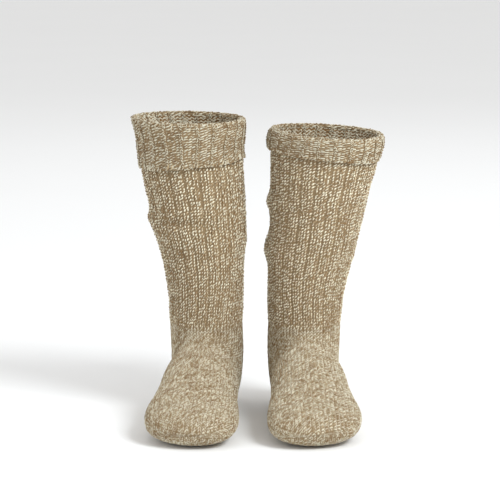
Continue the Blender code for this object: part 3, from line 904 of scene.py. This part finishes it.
def mesh_from_arrays(name, vertices, maps, quads, triangles):
    """A smooth mesh with its map."""
    corners = np.concatenate([quads.ravel(), triangles.ravel()]).astype(np.int32)
    sizes = np.repeat([4, 3], [len(quads), len(triangles)])
    starts = np.concatenate([[0], np.cumsum(sizes)[:-1]]).astype(np.int32)
    data = bpy.data.meshes.new(name)
    data.vertices.add(len(vertices))
    data.vertices.foreach_set("co", vertices.astype(np.float32).ravel())
    data.loops.add(len(corners))
    data.loops.foreach_set("vertex_index", corners)
    data.polygons.add(len(sizes))
    data.polygons.foreach_set("loop_start", starts)
    data.update(calc_edges=True)
    layer = data.uv_layers.new(name=YARN_MAP)
    layer.uv.foreach_set("vector", maps[corners].astype(np.float32).ravel())
    data.validate()
    data.shade_smooth()
    return linked(name, data)


def linked(name, data):
    item = bpy.data.objects.new(name, data)
    bpy.context.scene.collection.objects.link(item)
    return item


# Walls that the yarn is laid on. Their map has room for the rims at its ends, MAP_EDGE
# wide, of which the rims' faces take all but a little.
MAP_EDGE = 0.02
RIM_SHARE = 0.9
POLE_SHARE = 1e-4
SAME_POINT = 1e-6
SHARP = math.radians(70)


def between(ends, share):
    return ends[0] + (ends[1] - ends[0]) * share


def cloth_wall(name, faces_points, columns, rows, ends, turn, keep=None, pole=False):
    """Closed wall. faces_points are its outer and inner face, or one face that meets itself."""
    mesh = bmesh.new()
    layer = mesh.loops.layers.uv.new(YARN_MAP)
    partner = mesh.verts.layers.int.new("partner")
    whole = math.isclose(turn[1] - turn[0], FULL_TURN)
    for sheet, points in enumerate(faces_points):
        made = bmesh.ops.create_grid(mesh, x_segments=columns, y_segments=rows, size=0.5)["verts"]
        raw = np.array([vertex.co for vertex in made])
        share_x = raw[:, 0] + 0.5
        share_y = 0.5 - raw[:, 1]
        along = between(ends, share_y)
        angle = between(turn, share_x)
        shares = {vertex: (x, y) for vertex, x, y in zip(made, share_x, share_y)}
        faces = [face for face in mesh.faces if face.verts[0] in shares]
        gone = []
        for face in faces:
            x, y = np.array([shares[vertex] for vertex in face.verts]).mean(axis=0)
            if keep and not keep(between(ends, y), between(turn, x)):
                gone.append(face)
            for corner in face.loops:
                x, y = shares[corner.vert]
                corner[layer].uv = ((x + sheet) / len(faces_points), MAP_EDGE + (1 - 2 * MAP_EDGE) * y)
        spots = place(points(along, angle))
        if pole:
            at_pole = share_y > 1 - POLE_SHARE
            spots[at_pole] = spots[at_pole].mean(axis=0)
        row = np.rint(share_y * rows).astype(int)
        column = np.rint(share_x * columns).astype(int) % (columns if whole else columns + 1)
        # A point has the same number on both faces, but for its sign
        numbers = 1 + row * (columns + 1) + column
        for vertex, spot, number in zip(made, spots, numbers.tolist()):
            vertex.co = spot
            vertex[partner] = -number if sheet else number
        bmesh.ops.delete(mesh, geom=gone, context="FACES")
    bmesh.ops.remove_doubles(mesh, verts=mesh.verts, dist=SAME_POINT)
    close_rims(mesh, layer, partner)
    bmesh.ops.recalc_face_normals(mesh, faces=mesh.faces)
    return finished_mesh(mesh, name)


def border_loops(mesh):
    """The open borders of a mesh, each as a list of its edges."""
    mesh.edges.index_update()
    waiting = {edge.index: edge for edge in mesh.edges if edge.is_boundary}
    borders = []
    while waiting:
        first = waiting.pop(min(waiting))
        border = [first]
        front = [first]
        while front:
            for vertex in front.pop().verts:
                for edge in vertex.link_edges:
                    if waiting.pop(edge.index, None):
                        border.append(edge)
                        front.append(edge)
        borders.append(border)
    return borders


def close_rims(mesh, layer, partner):
    """Joins each border point of the outer face to its partner on the inner face.

    Bridge Loops twists between two rims that share a middle, so these faces are made here."""
    numbered = {vertex[partner]: vertex for vertex in mesh.verts}
    outer = [border for border in border_loops(mesh) if border[0].verts[0][partner] > 0]
    for number, border in enumerate(outer):
        low = 0.0 if number == 0 else 1 - MAP_EDGE * RIM_SHARE
        high = low + MAP_EDGE * RIM_SHARE
        for i, edge in enumerate(border):
            a, b = edge.verts
            face = mesh.faces.new((a, b, numbered[-b[partner]], numbered[-a[partner]]))
            left = i / len(border)
            right = (i + 1) / len(border)
            spots = ((left, low), (right, low), (right, high), (left, high))
            for corner, spot in zip(face.loops, spots):
                corner[layer].uv = spot


def finished_mesh(mesh, name):
    data = bpy.data.meshes.new(name)
    mesh.to_mesh(data)
    mesh.free()
    data.shade_smooth()
    data.set_sharp_from_angle(angle=SHARP)
    return linked(name, data)


# Materials


class Wire:
    """A shader socket that takes part in sums, each of which adds a Math node."""

    def __init__(self, shades, socket):
        self.shades = shades
        self.socket = socket

    def maths(self, operation, *values):
        return self.shades.node("ShaderNodeMath", {"operation": operation}, dict(enumerate(values)))

    def __add__(self, other):
        return self.maths("ADD", self, other)

    __radd__ = __add__

    def __sub__(self, other):
        return self.maths("SUBTRACT", self, other)

    def __rsub__(self, other):
        return self.maths("SUBTRACT", other, self)

    def __mul__(self, other):
        return self.maths("MULTIPLY", self, other)

    __rmul__ = __mul__

    def __gt__(self, other):
        return self.maths("GREATER_THAN", self, other)

    def floor(self):
        return self.maths("FLOOR", self)

    def fraction(self):
        return self.maths("FRACT", self)

    def sine(self):
        return self.maths("SINE", self)

    def smooth(self, low, high):
        """0 below low to 1 above high, eased."""
        settings = {"interpolation_type": "SMOOTHSTEP"}
        return self.shades.node("ShaderNodeMapRange", settings, {0: self, 1: low, 2: high, 3: 0.0, 4: 1.0})


WOOL_SURFACE = {
    "Roughness": 0.92,
    "Specular IOR Level": 0.1,
    "Sheen Weight": 0.12,
    "Sheen Roughness": 0.5,
    "Sheen Tint": (0.95, 0.88, 0.72, 1.0),
}


class Shades:
    """The nodes of one material."""

    def __init__(self, name):
        self.material = bpy.data.materials.new(name)
        self.material.use_nodes = True
        self.nodes = self.material.node_tree.nodes
        self.links = self.material.node_tree.links
        self.shader = self.nodes["Principled BSDF"]

    def put(self, socket, value):
        if isinstance(value, Wire):
            self.links.new(value.socket, socket)
        else:
            socket.default_value = value

    def node(self, kind, settings=None, values=None, output=0):
        """Adds a node, gives it its settings, then its sockets' values or links."""
        made = self.nodes.new(kind)
        for key, value in (settings or {}).items():
            setattr(made, key, value)
        for key, value in (values or {}).items():
            self.put(made.inputs[key], value)
        return Wire(self, made.outputs[output])

    def mix(self, factor, first, second):
        settings = {"data_type": "RGBA"}
        return self.node("ShaderNodeMix", settings, {0: factor, 6: first, 7: second}, output=2)

    def spot(self):
        return self.node("ShaderNodeTexCoord", output="Object")

    def noise(self, spot, scale, detail):
        return self.node("ShaderNodeTexNoise", {}, {"Vector": spot, "Scale": scale, "Detail": detail})

    def cell_chance(self, dimensions, *places):
        """A number from 0 to 1 for each cell."""
        cell = self.node("ShaderNodeCombineXYZ", {}, dict(enumerate(places)))
        settings = {"noise_dimensions": dimensions}
        return self.node("ShaderNodeTexWhiteNoise", settings, {"Vector": cell})

    def map_places(self, *counts):
        """The map's two axes, counted in strands or faces across and in rows down."""
        mapped = {"Vector": self.node("ShaderNodeUVMap", {"uv_map": YARN_MAP})}
        axes = (self.node("ShaderNodeSeparateXYZ", {}, mapped, output=axis) for axis in (0, 1))
        return [axis * float(count) for axis, count in zip(axes, counts)]

    def feed(self, values):
        for socket, value in values.items():
            self.put(self.shader.inputs[socket], value)

    def wool(self, colour, strength, distance, height):
        """Wool of this colour and relief, matt and with a soft nap."""
        relief = {"Strength": strength, "Distance": distance, "Height": height}
        self.feed({"Base Color": colour, "Normal": self.node("ShaderNodeBump", {}, relief)})
        self.feed(WOOL_SURFACE)
        return self.material


def opaque(colour, tint=1.0):
    return (colour[0] * tint, colour[1] * tint, colour[2] * tint, 1.0)


# Scale and detail of noise: single fibres, and patches where the yarn is lighter or darker
FIBRE = (2600.0, 3.0)
PATCH = (95.0, 2.0)

# Turns of the plies down a strand and across it
TWIST = 1.1
TWIST_LEAN = 0.7

# Where cream and tan begin and are full, and the means of a strand's painted crown shading and of noise
CREAM_REACH = (-0.5, 0.8)
TAN_REACH = (0.55, 1.25)
CROWN_SHADING_MEAN = 0.66
NOISE_MEAN = 0.5

# How much each of these counts for the cream and for the tan of a strand
CREAM_OF_STRIPE = 0.7
# The crown shading is painted light on each strand's crown and painted shade on its flanks
CREAM_OF_CROWN_SHADING = 1.6
CREAM_OF_PATCH = 1.3
CREAM_OF_CHANCE = 1.2
# The limb term gives the leading limb less cream: partly how the ply twist shows on it, partly painted
# shade for the limb turned from the light
CREAM_OF_LIMB = 0.2
TAN_OF_CROWN_SHADING = 0.7
TAN_OF_CHANCE = 0.3
TAN_OF_FIBRE = 0.4
TAN_OF_PATCH = 0.9

# A place of its own for the second number of a strand's chance
SECOND_CHANCE = 7.3

# Strength and depth of the relief of a strand and of the wall, and the wave of its rows
YARN_RELIEF = (0.35, 0.0004)
WALL_RELIEF = (0.6, 0.0006)
ROW_WAVE = 0.22

# The loops on the wall's back, drawn light on their crests and darker in the troughs between rows as
# painted shading:
# where their light begins and is full, how much patches count for it, and its tint. Then the tints of the
# painted shade on the wall under the yarn, and the share of the relief that loops and fibres have.
LOOP_REACH = (-0.3, 1.0)
LOOP_OF_PATCH = 1.6
LOOP_TINT = 0.92
# The wall under the yarn is darkened as painted shade in the gaps between strands
GAP_SHADE_TINTS = (0.95, 0.7)
LOOP_RISE = 0.5
FIBRE_RISE = 0.4


def yarn_material(name, colours, tint, strand_count, row_count):
    """Marled yarn: a cream ply and brown plies twisted round each other, with painted shading across each
    strand and on one limb of each stitch.
    """
    shades = Shades(name)
    across, down = shades.map_places(strand_count, row_count)
    spot = shades.spot()
    strand, row = across.floor(), down.floor()
    white = shades.cell_chance("2D", strand, row)
    second_white = shades.cell_chance("3D", strand, row, SECOND_CHANCE)
    # The following limb of a stitch has an odd number
    following = (strand * 0.5).fraction() > 0.25
    turn = down.fraction() * TWIST + across.fraction() * TWIST_LEAN + white
    stripe = (turn * FULL_TURN).sine()
    # Painted shading across each strand: lighter on its crown, darker on its flanks, where shade falls
    # between strands
    crown_shading = (across.fraction() * math.pi).sine()
    patch = shades.noise(spot, *PATCH)
    fibre = shades.noise(spot, *FIBRE)
    cream = stripe * CREAM_OF_STRIPE + (crown_shading - CROWN_SHADING_MEAN) * CREAM_OF_CROWN_SHADING
    cream = cream + (patch - NOISE_MEAN) * CREAM_OF_PATCH
    # The leading limb gets less cream, partly for the ply twist and partly as painted shade
    cream = cream + (second_white - NOISE_MEAN) * CREAM_OF_CHANCE + (following - 1.0) * CREAM_OF_LIMB
    tan = crown_shading * TAN_OF_CROWN_SHADING + second_white * TAN_OF_CHANCE + fibre * TAN_OF_FIBRE
    tan = tan + (patch - NOISE_MEAN) * TAN_OF_PATCH
    dark, middle, light = (opaque(colour, tint) for colour in (colours.dark, colours.middle, colours.cream))
    ground = shades.mix(tan.smooth(*TAN_REACH), dark, middle)
    worn = shades.mix(cream.smooth(*CREAM_REACH), ground, light)
    return shades.wool(worn, *YARN_RELIEF, fibre)


def wall_material(name, colours, faces, row_count):
    """The knit under the yarn, painted dark as the shade in the gaps between strands, and its back inside
    the hollow, where rows of loops show with painted shading.
    """
    shades = Shades(name)
    wide, row = shades.map_places(faces, row_count)
    spot = shades.spot()
    column = wide * float(LEG_COLUMNS)
    weave = (row + (column * FULL_TURN).sine() * ROW_WAVE).fraction()
    loops = (weave * FULL_TURN).sine()
    patch = shades.noise(spot, *PATCH)
    fibre = shades.noise(spot, *FIBRE)
    # Painted shading of the loop rows: light on their crests, dark in the troughs, with random patches of
    # marl
    back = (loops + (patch - NOISE_MEAN) * LOOP_OF_PATCH).smooth(*LOOP_REACH)
    light = shades.mix(back, opaque(colours.dark), opaque(colours.cream, LOOP_TINT))
    # Painted shade: the wall under the yarn is darker brown, standing for the shade in the gaps between
    # strands
    gap_shade = shades.mix(fibre, *map(opaque, (colours.dark, colours.middle), GAP_SHADE_TINTS))
    inside = wide > 1.0
    height = loops * LOOP_RISE * inside + fibre * FIBRE_RISE
    return shades.wool(shades.mix(inside, gap_shade, light), *WALL_RELIEF, height)


def give(item, material):
    item.data.materials.clear()
    item.data.materials.append(material)


# Settings that a user would change


class WoolSettings(bpy.types.PropertyGroup):
    """Row heights of the knit and colours of its marled yarn."""

    leg_row: bpy.props.FloatProperty(
        name="Leg Row",
        description="Height of one row of stitches of the ribbed legs",
        default=0.0031, min=0.002, unit="LENGTH",
    )
    cuff_row: bpy.props.FloatProperty(
        name="Cuff Row",
        description="Height of one row of stitches of the turned-down cuffs",
        default=0.003, min=0.002, unit="LENGTH",
    )
    cream: bpy.props.FloatVectorProperty(
        name="Cream Ply",
        description="Colour of the light ply of the yarn",
        default=(0.69, 0.646, 0.51), min=0.0, max=1.0, subtype="COLOR",
    )
    middle: bpy.props.FloatVectorProperty(
        name="Tan Ply",
        description="Colour of the middle ply of the yarn",
        default=(0.5, 0.398, 0.246), min=0.0, max=1.0, subtype="COLOR",
    )
    # The dark ply's colour also paints the shade in the gaps between strands, on the wall under the yarn
    dark: bpy.props.FloatVectorProperty(
        name="Brown Ply",
        description="Colour of the dark ply of the yarn and of the gaps between its loops",
        default=(0.205, 0.116, 0.047), min=0.0, max=1.0, subtype="COLOR",
    )
    unevenness: bpy.props.FloatProperty(
        name="Unevenness",
        description="How unlike each other the stitches are",
        default=1.0, min=0.0, max=2.0, subtype="FACTOR",
    )


class StudioSettings(bpy.types.PropertyGroup):
    """Floor, lights and camera."""

    floor_colour: bpy.props.FloatVectorProperty(
        name="Floor Colour",
        description="Colour of the floor",
        default=(0.93, 0.93, 0.925), min=0.0, max=1.0, subtype="COLOR",
    )
    key_power: bpy.props.FloatProperty(
        name="Key Light",
        description="Power of the large soft light at the right",
        default=70.0, min=0.0,
    )
    fill_power: bpy.props.FloatProperty(
        name="Fill Light",
        description="Power of the soft light at the left",
        default=7.0, min=0.0,
    )
    back_power: bpy.props.FloatProperty(
        name="Back Light",
        description="Power of the soft light behind the socks",
        default=5.0, min=0.0,
    )
    surround: bpy.props.FloatProperty(
        name="Surround",
        description="Brightness of the light from all round",
        default=0.8, min=0.0,
    )
    camera_distance: bpy.props.FloatProperty(
        name="Camera Distance",
        description="Distance from the camera to the ankles",
        default=2.4, unit="LENGTH",
    )
    camera_height: bpy.props.FloatProperty(
        name="Camera Height",
        description="Height of the camera above the frame's origin",
        default=0.277, unit="LENGTH",
    )
    camera_down: bpy.props.FloatProperty(
        name="Camera Tilt",
        description="How far the camera looks down",
        default=math.radians(9.0), subtype="ANGLE",
    )
    view_angle: bpy.props.FloatProperty(
        name="Angle of View",
        description="Width of the camera's view",
        default=math.radians(12.24), subtype="ANGLE",
    )


# Cut of each stretch of cloth in metres, all round and along the wales, with its area
# where it is no rectangle. Heel, foot and toe are the same in both socks.
Cut = namedtuple("Cut", "round along area")

# Each kind of yarn piece: what is added to its sock's seed for its strands and for the
# drift of its columns, how light its wool is, how uneven its stitches are and their kinds
Lay = namedtuple("Lay", "seed drift_seed tint unevenness wales strands")
LAYS = {
    "leg_yarn": Lay(0, 7, 1.2, 1.6, LEG_WALES, LEG_STRANDS),
    "leg_lining": Lay(1, 9, 0.92, 1.7, BACK_WALES, LINING_STRANDS),
    "cuff_yarn": Lay(2, 8, 0.89, 1.6, BACK_WALES, BACK_STRANDS),
    "cuff_edge": Lay(7, 0, 0.94, 1.4, BACK_WALES, CHAIN_STRANDS),
    "heel_yarn": Lay(3, None, 1.0, 1.0, None, PLAIN_STRANDS),
    "instep_yarn": Lay(4, None, 1.03, 1.0, None, PLAIN_STRANDS),
    "sole_yarn": Lay(5, None, 1.03, 1.0, None, PLAIN_STRANDS),
    "toe_yarn": Lay(6, None, 1.0, 1.0, None, PLAIN_STRANDS),
}


def declare(sock, part, slot, wall, *yarns):
    """Hangs the pieces of a finished stretch of cloth on the root body and hides the part they stand for.
    """
    node = f"{sock.name}_{part}"
    for item in (wall, *yarns):
        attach(item, "root")
    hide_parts(node)


def laid_wall(wool, cloth, part, size, ends, turn=ALL_ROUND, **shape):
    """The wall of one part. size counts its faces across and down and its rows of loops."""
    name = f"{cloth.sock.name}_{part}"
    columns, rows, loops = size
    wall = cloth_wall(f"{name}_knit", cloth.faces(), columns, rows, ends, turn, **shape)
    give(wall, wall_material(f"{name}_ground", wool, len(cloth.faces()), loops))
    return wall


def laid_yarn(wool, cloth, piece, cells, rows, columns):
    """One piece of yarn in its wool."""
    name = f"{cloth.sock.name}_{piece}"
    item = yarn_mesh(name, cloth, LAYS[piece], cells, rows, columns, wool.unevenness)
    give(item, yarn_material(f"{name}_wool", wool, LAYS[piece].tint, LIMBS * columns, rows))
    return item


def laid_rib(wool, cloth, piece, ends, rows):
    """Yarn of a rib tube between two ends."""
    lay = LAYS[piece]
    cells = rib_cells(cloth, lay, ends, rows)
    return laid_yarn(wool, cloth, piece, cells, rows, RIB_COUNT * len(lay.wales))


def laid_plain(wool, cloth, piece, cells):
    """Plain knit on part of the foot."""
    return laid_yarn(wool, cloth, piece, cells, int(cells.row.max()) + 1, int(cells.column.max()) + 1)


def span_rows(start, end, pitch):
    return max(1, round(abs(end - start) / pitch))


class SOCKS_OT_legs(bpy.types.Operator):
    """Builds the two ribbed legs, with their yarn and the back of their rib inside the mouth"""

    bl_idname = "socks.legs"
    bl_label = "Ribbed Legs"

    COVER_ABOVE_EDGE = 4.0
    WALL_ROW = 3.3
    WALL_COLUMNS = RIB_COUNT * 6
    LINING_ENDS = (3.1, 42.0)

    def execute(self, context):
        wool = context.scene.wool
        for sock in PAIR:
            cloth = LegCloth(sock)
            bottom = cloth.surface.at_height(ANKLE_HEIGHT + SEAM_GAP)
            highest_edge = sock.rim - sock.cuff_depth + sock.cuff_depth_tilt + self.COVER_ABOVE_EDGE
            first = cloth.surface.at_height(highest_edge)
            loops = span_rows(cloth.top, bottom, self.WALL_ROW)
            wall = laid_wall(wool, cloth, "leg", (self.WALL_COLUMNS, loops, loops), (cloth.top, bottom))
            rows = span_rows(first, bottom, wool.leg_row / MM)
            yarn = laid_rib(wool, cloth, "leg_yarn", (first, bottom), rows)
            rows = span_rows(*self.LINING_ENDS, self.WALL_ROW)
            lining = laid_rib(wool, LiningCloth(sock), "leg_lining", self.LINING_ENDS, rows)
            declare(sock, "leg", "ribbed_wool", wall, yarn, lining)
        return {"FINISHED"}


class SOCKS_OT_cuffs(bpy.types.Operator):
    """Builds the two turned-down cuffs, which show the back of the rib"""

    bl_idname = "socks.cuffs"
    bl_label = "Turned-Down Cuffs"

    FOLD_LENGTH = 9.0
    WALL_COLUMNS = RIB_COUNT * 8

    def chains(self, cloth):
        """The chain along the lower edge and the row of loops over the rim."""
        end = int(CUFF_YARN[1])
        last_step = cloth.sock.cuff_depth * (CUFF[end].share - CUFF[end - 1].share)
        edge_ends = (CUFF_YARN[1] - CUFF_EDGE_HEIGHT / last_step, CUFF_EDGE_END)
        edge = rib_cells(cloth, LAYS["cuff_edge"], edge_ends, 1)
        rim = rib_cells(cloth, LAYS["cuff_edge"], CUFF_RIM, 1)
        cells = joined_cells([edge, rim._replace(row=rim.row + 1)])
        return cells._replace(kind=np.repeat(list(CHAIN_STRANDS), BACK_COLUMNS))

    def execute(self, context):
        wool = context.scene.wool
        for sock in PAIR:
            cloth = CuffCloth(sock)
            steps = len(CUFF)
            size = (self.WALL_COLUMNS, 2 * steps, steps)
            wall = laid_wall(wool, cloth, "cuff", size, (0.0, float(steps)))
            rows = span_rows(0.0, sock.cuff_depth + self.FOLD_LENGTH, wool.cuff_row / MM)
            yarn = laid_rib(wool, cloth, "cuff_yarn", CUFF_YARN, rows)
            chains = self.chains(cloth)
            edge = laid_yarn(wool, cloth, "cuff_edge", chains, len(CHAIN_STRANDS), BACK_COLUMNS)
            declare(sock, "cuff", "ribbed_wool", wall, yarn, edge)
        return {"FINISHED"}


class SOCKS_OT_heels(bpy.types.Operator):
    """Builds the two turned heels"""

    bl_idname = "socks.heels"
    bl_label = "Heels"

    SIZE = (BACK_COLUMNS // 2, 36, 40)

    def execute(self, context):
        wool = context.scene.wool
        for sock in PAIR:
            cloth = FootCloth(sock)
            side_gap = SEAM_GAP / TURN[0].half_width
            turn = (BACK_HALF[0] + side_gap, BACK_HALF[1] - side_gap)
            ends = (cloth.surface.leg_end, cloth.surface.heel_end - 2 * SEAM_GAP)
            wall = laid_wall(wool, cloth, "heel", self.SIZE, ends, turn)
            yarn = laid_plain(wool, cloth, "heel_yarn", plain_cells(cloth, turn, ends))
            declare(sock, "heel", "plain_wool", wall, yarn)
        return {"FINISHED"}


class SOCKS_OT_feet(bpy.types.Operator):
    """Builds instep and sole of the two feet"""

    bl_idname = "socks.feet"
    bl_label = "Feet"

    ROWS = 60

    def execute(self, context):
        wool = context.scene.wool
        for sock in PAIR:
            cloth = FootCloth(sock)
            surface = cloth.surface
            ends = (surface.leg_end, surface.foot_end - SEAM_GAP)
            length = ends[1] - ends[0]
            heel_rows = round((surface.heel_end - surface.leg_end) / length * self.ROWS)
            heel_row = surface.leg_end + heel_rows * length / self.ROWS

            def in_foot(along, angle, heel_row=heel_row):
                return along > heel_row or math.cos(angle) > 0

            size = (BACK_COLUMNS, self.ROWS, self.ROWS)
            wall = laid_wall(wool, cloth, "foot", size, ends, keep=in_foot)
            instep = laid_plain(wool, cloth, "instep_yarn", plain_cells(cloth, FRONT_HALF, ends))
            sole_cells = plain_cells(cloth, BACK_HALF, (surface.heel_end, ends[1]))
            sole = laid_plain(wool, cloth, "sole_yarn", sole_cells)
            declare(sock, "foot", "plain_wool", wall, instep, sole)
        return {"FINISHED"}


class SOCKS_OT_toes(bpy.types.Operator):
    """Builds the two rounded toes, whose wales run straight and end at the sides"""

    bl_idname = "socks.toes"
    bl_label = "Toes"

    SIZE = (BACK_COLUMNS, 24, 24)
    SIDE_SHARE = 0.95
    SIDE_WALES = 3
    HALF_TIP_GAP = 0.4
    SIDE_TIP_GAP = 0.6
    FEWEST_SAMPLES = 8
    SHARE_LIMIT = 0.999

    def samples(self, surface, tip_gap):
        return np.linspace(surface.foot_end, surface.tip - tip_gap, TOE_SAMPLES)

    def half(self, cloth, sole, first_column):
        """Parallel wales of one half of the toe, each as long as the outline lets it be."""
        samples = self.samples(cloth.surface, self.HALF_TIP_GAP)
        section = cloth.surface.section(samples)
        offset, half_width, square = section[0], section[4], section[7]
        edges = np.sin(np.linspace(*FRONT_HALF, HALF_COLUMNS + 1)) * half_width[0]

        def angles(x):
            share = np.clip((x + offset[0] - offset) / half_width, -self.SHARE_LIMIT, self.SHARE_LIMIT)
            if not sole:
                return np.arcsin(share)
            return math.pi - np.arcsin(np.sign(share) * np.abs(share) ** (square / 2))

        parts = []
        for column in range(HALF_COLUMNS):
            left = angles(edges[column])
            right = angles(edges[column + 1])
            if sole:
                left, right = right, left
            shares = np.abs(edges[[column, column + 1]].mean() + offset[0] - offset) / half_width
            past = np.flatnonzero(shares > self.SIDE_SHARE)
            length = past[0] if len(past) else len(samples)
            if length < self.FEWEST_SAMPLES:
                continue
            used = (samples[:length], left[:length], right[:length])
            parts.append(chain_cells(cloth, *used, first_column + column, "knit"))
        return parts

    def sides(self, cloth, first_column):
        """The narrow band of wales where the two halves meet."""
        samples = self.samples(cloth.surface, self.SIDE_TIP_GAP)
        edge = math.asin(self.SIDE_SHARE)
        parts = []
        for side in (0, 1):
            middle = math.pi / 2 + math.pi * side
            edges = np.linspace(edge - math.pi / 2, math.pi / 2 - edge, self.SIDE_WALES + 1) + middle
            for pair in zip(edges, edges[1:]):
                column = first_column + len(parts)
                parts.append(upright_cells(cloth, samples, *pair, column, "knit"))
        return parts

    def execute(self, context):
        wool = context.scene.wool
        for sock in PAIR:
            cloth = FootCloth(sock)
            ends = (cloth.surface.foot_end, cloth.surface.tip)
            wall = laid_wall(wool, cloth, "toe", self.SIZE, ends, pole=True)
            parts = self.half(cloth, False, 0) + self.half(cloth, True, HALF_COLUMNS)
            parts += self.sides(cloth, LEG_COLUMNS)
            yarn = laid_plain(wool, cloth, "toe_yarn", joined_cells(parts))
            declare(sock, "toe", "plain_wool", wall, yarn)
        return {"FINISHED"}


class SOCKS_OT_studio(bpy.types.Operator):
    """Builds the floor, the lights and the camera"""

    bl_idname = "socks.studio"
    bl_label = "Studio"

    FLOOR_RADIUS = 40.0
    FLOOR_GAP = 0.0004
    FLOOR_SIDES = 96
    FLOOR_NOISE = (3.0, 2.0)
    FLOOR_SHADE = 0.985
    FLOOR_ROUGHNESS = 0.85
    LIGHT_COLOUR = (0.93, 0.97, 1.0)
    LIGHTS = {
        "key": (1.3, (1.8, -1.6, 1.9)),
        "fill": (1.6, (-2.1, -1.5, 0.9)),
        "back": (1.4, (0.4, 2.2, 1.6)),
    }

    def floor(self, settings, level):
        mesh = bmesh.new()
        bmesh.ops.create_circle(mesh, cap_ends=True, segments=self.FLOOR_SIDES, radius=self.FLOOR_RADIUS)
        for vertex in mesh.verts:
            vertex.co.z = level
        item = finished_mesh(mesh, "studio_floor")
        shades = Shades("studio_floor_paint")
        shade = shades.noise(shades.spot(), *self.FLOOR_NOISE)
        colours = (opaque(settings.floor_colour), opaque(settings.floor_colour, self.FLOOR_SHADE))
        shades.feed({"Base Color": shades.mix(shade, *colours), "Roughness": self.FLOOR_ROUGHNESS})
        give(item, shades.material)

    def light(self, name, power, size, spot, target):
        data = bpy.data.lights.new(name, "AREA")
        data.shape = "DISK"
        data.size = size
        data.energy = power
        data.color = self.LIGHT_COLOUR
        item = linked(name, data)
        item.location = spot
        item.rotation_euler = (Vector(target) - Vector(spot)).to_track_quat("-Z", "Y").to_euler()

    def execute(self, context):
        settings = context.scene.studio
        low, high = CAD_BOX
        centre = [(a + b) / 2 for a, b in zip(low, high)]
        self.floor(settings, low[2] - self.FLOOR_GAP)
        for name, (size, spot) in self.LIGHTS.items():
            self.light(f"{name}_light", getattr(settings, f"{name}_power"), size, spot, centre)
        world = bpy.data.worlds.new("studio_surround")
        world.use_nodes = True
        background = world.node_tree.nodes["Background"]
        background.inputs["Color"].default_value = (1.0, 1.0, 1.0, 1.0)
        background.inputs["Strength"].default_value = settings.surround
        context.scene.world = world
        data = bpy.data.cameras.new("photo_camera")
        data.sensor_fit = "HORIZONTAL"
        data.angle = settings.view_angle
        camera = linked("photo_camera", data)
        grip = place(np.zeros(3))
        camera.location = (grip[0], grip[1] - settings.camera_distance, settings.camera_height)
        camera.rotation_euler = (math.pi / 2 - settings.camera_down, 0.0, 0.0)
        context.scene.camera = camera
        context.scene.view_settings.view_transform = "Standard"
        return {"FINISHED"}


class SOCKS_PT_panel(bpy.types.Panel):
    """Lists the pieces of the socks and their settings"""

    bl_idname = "SOCKS_PT_panel"
    bl_label = "Boot Socks"
    bl_space_type = "VIEW_3D"
    bl_region_type = "UI"
    bl_category = "Socks"

    def draw(self, context):
        for settings in (context.scene.wool, context.scene.studio):
            for name in type(settings).__annotations__:
                self.layout.prop(settings, name)
        for operator in OPERATORS:
            self.layout.operator(operator.bl_idname)


OPERATORS = (
    SOCKS_OT_cuffs,
    SOCKS_OT_legs,
    SOCKS_OT_heels,
    SOCKS_OT_feet,
    SOCKS_OT_toes,
    SOCKS_OT_studio,
)
CLASSES = (WoolSettings, StudioSettings, *OPERATORS, SOCKS_PT_panel)


def register():
    for item in CLASSES:
        bpy.utils.register_class(item)
    bpy.types.Scene.wool = bpy.props.PointerProperty(type=WoolSettings)
    bpy.types.Scene.studio = bpy.props.PointerProperty(type=StudioSettings)


def unregister():
    del bpy.types.Scene.studio
    del bpy.types.Scene.wool
    for item in reversed(CLASSES):
        bpy.utils.unregister_class(item)


def main():
    register()
    bpy.ops.socks.cuffs()
    bpy.ops.socks.legs()
    bpy.ops.socks.heels()
    bpy.ops.socks.feet()
    bpy.ops.socks.toes()
    bpy.ops.socks.studio()


if __name__ == "__main__":
    main()
